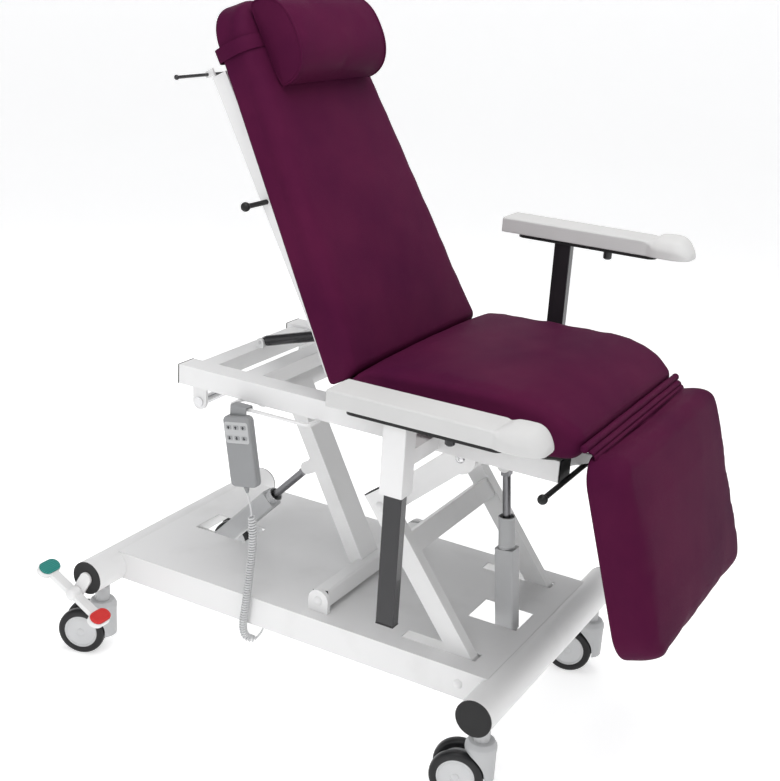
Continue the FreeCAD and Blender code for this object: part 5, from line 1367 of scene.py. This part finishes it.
@dataclass
class HeadPillow:
    """A half-round bolster with piped ends, and the band that holds it."""

    half: float = 0.186
    foot: float = 0.662
    long: float = 0.196
    thick: float = 0.090
    front: float = 0.0996
    piping: float = 0.0026

    def outline(self, share: float) -> Grid:
        """D-shaped outline in the plane across the chair, as y and z, shrunk to a share.

        The bow is an ellipse raised to a fuller power, the back is straight, and the two
        back corners are rounded by the same power.

        Args:
            share: the share, 0 to 1.

        Returns:
            Array (points, 2).
        """
        t = turn(72)
        c, s = np.cos(t), np.sin(t)
        y = self.long / 2 * np.sign(c) * np.abs(c) ** 0.85
        z = np.where(s > 0, 0.018 + (self.thick - 0.018) * np.abs(s) ** 0.92,
                     0.018 - 0.018 * np.abs(s) ** 0.35)
        middle = np.array([0.0, 0.036])
        return middle + (np.stack([y, z], -1) - middle) * share

    def section(self, x: float, share: float, lowest: float) -> Grid:
        """The outline at a place across the chair, in the cushion's frame.

        Args:
            x: the place across the chair.
            share: the share that the outline is shrunk to.
            lowest: heights below this one are raised to it.

        Returns:
            Array (points, 3).
        """
        yz = self.outline(share)
        return np.stack([np.full(len(yz), x), yz[:, 0] + self.foot + self.long / 2,
                         np.maximum(yz[:, 1], lowest) + self.front], -1)

    def build(self) -> None:
        """Make the bolster, its two piped seams and the band."""
        rows = []
        inner = np.array([0.06, 0.3, 0.55, 0.78, 0.92, 0.975])
        for q in inner:
            rows.append((-self.half - 0.007 * (1 - q * q) ** 0.8, q))
        x = np.linspace(-self.half + 0.002, self.half - 0.002, 46)
        swell = 1 + 0.012 * np.sin(np.pi * (x / self.half + 1) / 2) ** 0.6 \
            - 0.010 * np.exp(-((self.half - np.abs(x)) / 0.006) ** 2)
        rows += list(zip(x, swell))
        rows += [(-a, q) for a, q in reversed(rows[:len(inner)])]
        grid = np.stack([self.section(a, q, 0.0) for a, q in rows])
        grid[..., 2] += ripple(grid, 0.0012, ((0.17, 0.3), (0.09, 0.7))) \
            * np.clip((grid[..., 2] - self.front) / self.thick, 0, 1)
        piece = skin("head_bolster", BACK.out(grid))
        Stuffing(cap=0.005, shrink=0.0015).settle(piece, self.freedom)
        finish(piece, Finish.PLUM, "vinyl_plum", "pillow", "head_pillow")
        for side, name in ((-1, "right"), (1, "left")):
            path = self.section(side * (self.half - 0.0005), 0.995, 0.002)
            seam = hoop("bolster_piping_" + name,
                        tube_rings(BACK.out(path), self.piping, 10, True))
            finish(seam, Finish.PLUM, "vinyl_plum", "pillow")
        self.band()

    def freedom(self, points: Grid) -> Grid:
        """How far each point may follow: the bow is free, the flat back and the ends stay.

        Args:
            points: array (points, 3).

        Returns:
            One share per point.
        """
        off = BACK.back(points)[1]
        return eased_step((off - self.front - 0.008) / 0.03) \
            * eased_step((self.half - 0.004 - np.abs(points[:, 0])) / 0.03)

    def band(self) -> None:
        """The band: a flat section carried along the cushion's outline and round its back."""
        half, low = 0.2445, -0.0016
        corners = [(-0.180, 0.1003), (-0.215, 0.0965), (-half - 0.0012, 0.072),
                   (-half - 0.0012, 0.014), (-0.236, low), (0.236, low),
                   (half + 0.0012, 0.014), (half + 0.0012, 0.072), (0.215, 0.0965),
                   (0.180, 0.1003)]
        grid = strip(corners, 0.024, 9, squircle(0.016, 0.00095, 0.00093, 24),
                     (0.0, 0.045)) + (0, 0.775, 0)
        finish(skin("bolster_band", BACK.out(grid)), Finish.PLUM, "vinyl_plum", "pillow")


# Armrests

@dataclass
class ArmrestPad:
    """A long foam pad: square behind, flat along its length and domed at the grip."""

    side: int
    lift: float
    name: str
    rear: float = 0.178
    long: float = 0.494
    half: float = 0.047
    thick: float = 0.039
    grip: float = 0.088
    grip_half: float = 0.053
    rise: float = 0.016

    def grid(self) -> Grid:
        """Rings of points along the pad.

        A smooth step widens the grip behind its end; an ellipse domes its top, a narrow dip
        creases the joint, and circular arcs close the front end.

        Returns:
            Array (rings, points round, 3).
        """
        s = np.sort(np.concatenate([end_crowded(self.long, 110),
                                    self.long - self.grip - np.linspace(-0.02, 0.03, 24)]))
        from_end = self.long - s
        swell = eased_step((self.grip + 0.026 - from_end) / 0.038)
        middle = self.grip * 0.52
        dome = np.sqrt(np.maximum(0, 1 - ((from_end - middle) / (self.grip * 0.62)) ** 2))
        crease = np.exp(-((from_end - self.grip - 0.016) / 0.007) ** 2)
        half = self.half + (self.grip_half - self.half) * swell - 0.0010 * crease
        corner = self.grip_half * 0.9
        near = np.clip(from_end / corner, 0, 1)
        half = half - corner * 0.74 * (1 - np.sqrt(np.maximum(0, 1 - (1 - near) ** 2)))
        top = self.thick + (self.rise - 0.004) * swell * dome + 0.004 * swell - 0.0022 * crease
        top = top - (top - self.thick * 0.42) * (1 - np.clip(from_end / 0.044, 0, 1)) ** 2.6
        top = top - corner_loss(s, 0.004)
        half = half - 0.8 * corner_loss(s, 0.004)
        crown = 0.0010 + 0.022 * swell * dome
        ones = np.ones_like(s)
        front = 0.005 + 0.021 * swell
        ring = ring_sections(half, top - crown, crown, front * ones, 0.003 * ones, 0.0 * ones)
        base = 0.8943 + self.lift
        return np.stack([ring[..., 0] + self.side * 0.414,
                         -(s[:, None] + self.rear) + SHIFT + 0 * ring[..., 0],
                         ring[..., 1] + base], -1)

    def build(self) -> None:
        """Make the pad."""
        piece = skin("arm_pad_" + self.name, self.grid())
        finish(piece, Finish.PALE_SKIN, "vinyl_white", "armrest_" + self.name,
               "armrest_pad_" + self.name)


# Casters

@dataclass
class Caster:
    """A twin-wheel caster: two dished discs with dark tyres under a round housing."""

    name: str
    side: int
    end: int
    yaw: float
    radius: float = 0.0625
    trail: float = 0.048
    axle: float = 0.0075
    apart: float = 0.026

    def place(self) -> Slope:
        """The caster's own frame: on the floor below its stem."""
        return Slope(self.end * 0.555, 0.0, 0.0, self.side * 0.335, self.yaw)

    def build(self) -> None:
        """Make the tyres, the discs, the axle and the housing's trim."""
        wheel = "wheel_" + self.name
        place = self.place()
        half_tread = [(0.0438, -0.0100), (0.0460, -0.0117), (0.0550, -0.0119), (0.0594, -0.0106),
                      (0.0618, -0.0076), (0.0625, -0.0035)]
        tread = half_tread + [(r, -x) for r, x in reversed(half_tread)]
        face = rounded_profile(
            [(0.0005, 0.0106), (0.0075, 0.0106), (0.0085, 0.0092), (0.0125, 0.0092),
             (0.0138, 0.0100), (0.0365, 0.0096), (0.0378, 0.0086), (0.0402, 0.0086),
             (0.0414, 0.0106), (0.0442, 0.0106), (0.0442, -0.0100), (0.0400, -0.0104),
             (0.0380, -0.0060), (0.0120, -0.0060), (0.0110, -0.0100), (0.0005, -0.0100)],
            0.0008, 3)
        for lean in (-1, 1):
            mark = self.name + ("_a" if lean < 0 else "_b")
            flip, centre = (lean, 1, 1), (lean * self.apart, self.trail, self.radius)
            tyre = hoop("tyre_" + mark,
                        place.out(lathe_x(tread, 96).swapaxes(0, 1) * flip + centre))
            finish(tyre, Finish.TYRE, "wheel_tyre", wheel)
            disc = skin("disc_" + mark, place.out(lathe_x(face, 72) * flip + centre))
            names = ("caster_wheels_" + self.name,) if lean < 0 else ()
            finish(disc, Finish.DISC, "caster_grey", wheel, *names)
        bar = [(self.axle, x) for x in np.linspace(-self.apart, self.apart, 8)]
        axle = skin("axle_" + self.name,
                    place.out(lathe_x(bar, 24) + (0, self.trail, self.radius)))
        finish(axle, Finish.STEEL, "steel_bright", wheel)
        softened("caster_housing_" + self.name, 0.0016)
        collar = rounded_profile([(0.0185, 0.1505), (0.0300, 0.1505), (0.0366, 0.1395),
                                  (0.0372, 0.1340), (0.0372, 0.1290), (0.0362, 0.1280),
                                  (0.0355, 0.1280)], 0.0016, 4)
        trim = skin("caster_collar_" + self.name, place.out(lathe(collar, 72)))
        finish(trim, Finish.GREY, "caster_grey", "caster_" + self.name)


# Brake pedal

@dataclass
class BrakePedal:
    """Ribbed inset pads and a domed boss on the two-armed pedal."""

    reach: float = 0.096
    where: Slope = Slope(0.580, 0.192, 28.0, -0.402)

    def build(self) -> None:
        """Make the two pads and the boss, and ease the lever."""
        softened("pedal_lever", 0.003)
        middle = -0.014
        for end, name, how in ((-1, "lock", Finish.RED), (1, "release", Finish.GREEN)):
            grid = button(lambda inset: capsule(0.012, 0.019 - inset),
                          [(0.0006, 0.0062), (0.0, 0.0072), (0.0, 0.0105), (0.0014, 0.0122),
                           (0.005, 0.0130), (0.011, 0.0134), (0.017, 0.0135)])
            grid = grid + (middle, end * self.reach, 0.0)
            pad = skin("pedal_tread_" + name, self.where.out(grid))
            finish(pad, how, "pad_red" if end < 0 else "pad_green", "brake_pedal",
                   "pedal_pad_" + name)
        boss = [(0.0005, -0.0325), (0.006, -0.0322), (0.011, -0.0306), (0.0148, -0.0278),
                (0.0162, -0.0240), (0.0165, -0.0180), (0.0165, -0.0060), (0.0158, -0.0030)]
        hub = skin("pedal_boss", self.where.out(lathe_x(boss, 48)))
        finish(hub, Finish.WHITE, "frame_white", "brake_pedal")


# Handset

@dataclass
class Handset:
    """A slim keypad: two shells with a parting groove, six keys, a hook and a relief."""

    where: Slope = Slope(0.147, 0.756, -10.0, -0.318)
    half: float = 0.0125
    wide: float = 0.038
    long: float = 0.176

    def across(self, grid: Grid) -> Grid:
        """Turn (a, b, height) into the handset's frame: height faces outward along -x."""
        return np.stack([-grid[..., 2], grid[..., 0], grid[..., 1]], -1)

    def piece(self, name: str, grid: Grid, offset: tuple, how: Finish, slot: str,
              body: str, *nodes: str) -> None:
        grid = self.where.out(self.across(grid) + (0, *offset))
        finish(skin(name, grid, slot != "key_dark"), how, slot, body, *nodes)

    def build(self) -> None:
        """Make the shell, the keys, the hook and the relief."""
        h = self.half
        body = button(lambda inset: squircle(self.wide - inset, self.long / 2 - inset,
                                             0.013 - 0.5 * inset),
                      [(0.006, -h), (0.0030, -h + 0.0006), (0.0010, -h + 0.0022),
                       (0.0002, -h + 0.0050), (0.0, -0.0022), (0.0009, -0.0014),
                       (0.0009, -0.0008), (0.0, 0.0), (0.0002, h - 0.0050),
                       (0.0010, h - 0.0022), (0.0030, h - 0.0006), (0.006, h)])
        self.piece("handset_case", body, (0, -self.long / 2), Finish.HANDSET, "handset_grey",
                   "seat_frame", "handset_shell")
        panel = button(lambda inset: squircle(0.0335 - inset, 0.026 - inset, 0.006 - 0.6 * inset),
                       [(0.0, h - 0.0004), (0.0, h + 0.0003), (0.0006, h + 0.0006),
                        (0.004, h + 0.0006)])
        self.piece("handset_panel", panel, (0, -0.040), Finish.GREY, "handset_grey",
                   "seat_frame")
        key = button(lambda inset: squircle(0.0075 - inset, 0.005 - inset,
                                            0.0022 - 0.8 * inset, 32),
                     [(0.0, h - 0.0026), (0.0, h + 0.0017), (0.0006, h + 0.0023),
                      (0.0018, h + 0.0024)])
        for index in range(1, 7):
            row, column = divmod(index - 1, 3)
            offset = ((column - 1) * 0.021, -0.027 - row * 0.026)
            self.piece("key_cap_%d" % index, key, offset, Finish.KEY_CAP, "handset_grey",
                       "key_%d" % index, "handset_key_%d" % index)
            self.mark(index, offset, 1 - 2 * row)
        relief = rounded_profile([(0.0074, 0.0), (0.0074, -0.004), (0.0056, -0.006),
                                  (0.0062, -0.008), (0.0048, -0.0095), (0.0052, -0.0115),
                                  (0.0040, -0.0130), (0.0036, -0.0163)], 0.0006, 3)
        tilt = math.radians(self.where.tilt)
        place = Slope(self.where.y + self.long * math.sin(tilt),
                      self.where.z - self.long * math.cos(tilt), self.where.tilt, self.where.x)
        finish(skin("handset_relief", place.out(lathe(relief, 32))), Finish.HANDSET,
               "handset_grey", "seat_frame")
        self.hook()

    def mark(self, index: int, offset: tuple, points: int) -> None:
        """A dark arrow on a key: a triangle over a short stem, drawn in at its upper face.

        Args:
            index: the key's number.
            offset: the key's place across and along the handset.
            points: 1 for an arrow that points up, -1 for down.
        """
        h = self.half + 0.0024
        arrow = np.array([(0.0, 0.0042), (0.0044, -0.0002), (0.0017, -0.0002), (0.0017, -0.0040),
                          (-0.0017, -0.0040), (-0.0017, -0.0002), (-0.0044, -0.0002)])
        arrow = arrow * (1, points)
        grid = button(lambda inset: arrow * (1 - inset * 100),
                      [(0.0, h - 0.0004), (0.0, h + 0.0002), (0.0008, h + 0.0003)])
        self.piece("key_mark_%d" % index, grid, offset, Finish.KEY, "key_dark",
                   "key_%d" % index)

    def hook(self) -> None:
        """The hook: a flat strip bent over the wire loop, its line swept as a thin section."""
        corners = [(-0.3165, 0.744), (-0.3160, 0.768), (-0.3160, 0.7768), (-0.2960, 0.7768),
                   (-0.2925, 0.7766), (-0.2905, 0.7700), (-0.2905, 0.7660)]
        grid = strip(corners, 0.004, 6, squircle(0.023, 0.0021, 0.0019, 28),
                     (-0.303, 0.750)) + (0, self.where.y + SHIFT, 0)
        finish(skin("handset_hook", grid), Finish.HANDSET, "handset_grey", "seat_frame")


# Lifting actuators

@dataclass
class Actuator:
    """The moulded sleeve over an actuator's guide, from a square-shouldered foot to a lip."""

    name: str
    foot: tuple
    eye: tuple
    housing: float
    guide: float

    def build(self) -> None:
        """Make the sleeve: a closed ring profile, with two ribs and a lip, spun round the rod."""
        run, rise = self.eye[0] - self.foot[0], self.eye[1] - self.foot[1]
        where = Slope(self.foot[0], self.foot[1], math.degrees(math.atan2(-run, rise)))
        low, high = self.housing, self.housing + self.guide
        profile = [
            (0.0187, low + 0.0008), (0.0207, low + 0.0008), (0.0209, low + 0.0016),
            (0.0209, low + 0.0036), (0.0200, low + 0.0045), (0.0200, low + 0.0080),
            (0.0207, low + 0.0086), (0.0207, low + 0.0110), (0.0196, high - 0.0020),
            (0.0196, high + 0.0010), (0.0204, high + 0.0018), (0.0204, high + 0.0052),
            (0.0196, high + 0.0060), (0.0180, high + 0.0058), (0.0176, high + 0.0050),
            (0.0176, high + 0.0006), (0.0187, high + 0.0005)]
        sleeve = hoop(self.name + "_actuator_sleeve",
                      where.out(lathe(profile, 64).swapaxes(0, 1)))
        finish(sleeve, Finish.GREY, "actuator_grey", frame["nodes"][
            self.name + "_actuator_body"]["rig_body"])


# The steel frame and what is left

@dataclass
class SteelFrame:
    """Every other piece of the chair, with its edges eased and its finish laid on."""

    eased: tuple = (
        ("base_tray", 0.0022), ("base_tube_plugs", 0.0018), ("base_brackets", 0.0012),
        ("lift_arm", 0.0020), ("pivot_tube_plugs", 0.0014), ("lower_arms", 0.0020),
        ("arm_end_plugs", 0.0012), ("upper_links", 0.0020), ("side_rails", 0.0028),
        ("rail_plugs", 0.0020), ("cross_members", 0.0020), ("frame_lugs", 0.0010),
        ("post_sleeves", 0.0024), ("handset_loop", 0.0014), ("backrest_frame", 0.0016),
        ("legrest_frame", 0.0014), ("rear_actuator_body", 0.0022),
        ("front_actuator_body", 0.0022), ("armrest_post_right", 0.0022),
        ("armrest_post_left", 0.0022), ("armrest_plate_right", 0.0012),
        ("armrest_plate_left", 0.0012))

    dark_rods: tuple = ("front_actuator_rod", "rear_actuator_rod")

    def build(self) -> None:
        """Ease the listed nodes and dress the rest."""
        for node, width in self.eased:
            softened(node, width)
        for node, thing in frame["nodes"].items():
            how = Finish.DARK_STEEL if node in self.dark_rods else SLOT_FINISH[SLOT_OF[node]]
            thing.data.materials.clear()
            thing.data.materials.append(how.material())


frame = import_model()
SLOT_OF = {part["node"]: part["material_slot"] for part in frame["record"]["subparts"]}
SLOT_FINISH = {
    "frame_white": Finish.WHITE, "plug_black": Finish.BLACK, "cord_grey": Finish.CORD,
    "pad_red": Finish.RED, "pad_green": Finish.GREEN, "steel_bright": Finish.STEEL,
    "steel_dark": Finish.BLACK_GLOSS, "board_black": Finish.BOARD, "vinyl_plum": Finish.PLUM,
    "vinyl_white": Finish.PALE_SKIN, "handset_grey": Finish.HANDSET, "key_dark": Finish.KEY,
    "actuator_grey": Finish.GREY, "caster_grey": Finish.GREY, "wheel_tyre": Finish.TYRE}


def main() -> None:
    """Build the chair in order."""
    logging.basicConfig(level=logging.INFO)
    Studio().build()
    HandsetCord().build()
    Cushion("back_padding", "backrest_cushion", "backrest", BACK, length=0.885,
            half_foot=0.316, half_head=0.232, thick=0.073, crown=0.012, lift=0.0143,
            foot_corner=0.014, head_corner=0.088, edge=0.027).build()
    Cushion("leg_padding", "legrest_cushion", "legrest", LEG, length=0.457,
            half_foot=0.328, half_head=0.328, thick=0.063, crown=0.016, lift=0.0277,
            foot_corner=0.084, head_corner=0.060, start=-0.4542, skirt=0.024).build()
    SeatCushion().build()
    SeatBoard().build()
    HeadPillow().build()
    ArmrestPad(-1, 0.0, "right").build()
    ArmrestPad(1, 0.245, "left").build()
    for name, (side, end, yaw) in {"front_right": (-1, -1, 17), "front_left": (1, -1, 10),
                                   "rear_right": (-1, 1, 20), "rear_left": (1, 1, 14)}.items():
        Caster(name, side, end, yaw).build()
    BrakePedal().build()
    Handset().build()
    Actuator("front", (-0.455, 0.223), (-0.410, 0.672), 0.236, 0.076).build()
    Actuator("rear", (0.430, 0.221), (0.140, 0.524), 0.250, 0.014).build()
    SteelFrame().build()


if __name__ == "__main__":
    main()
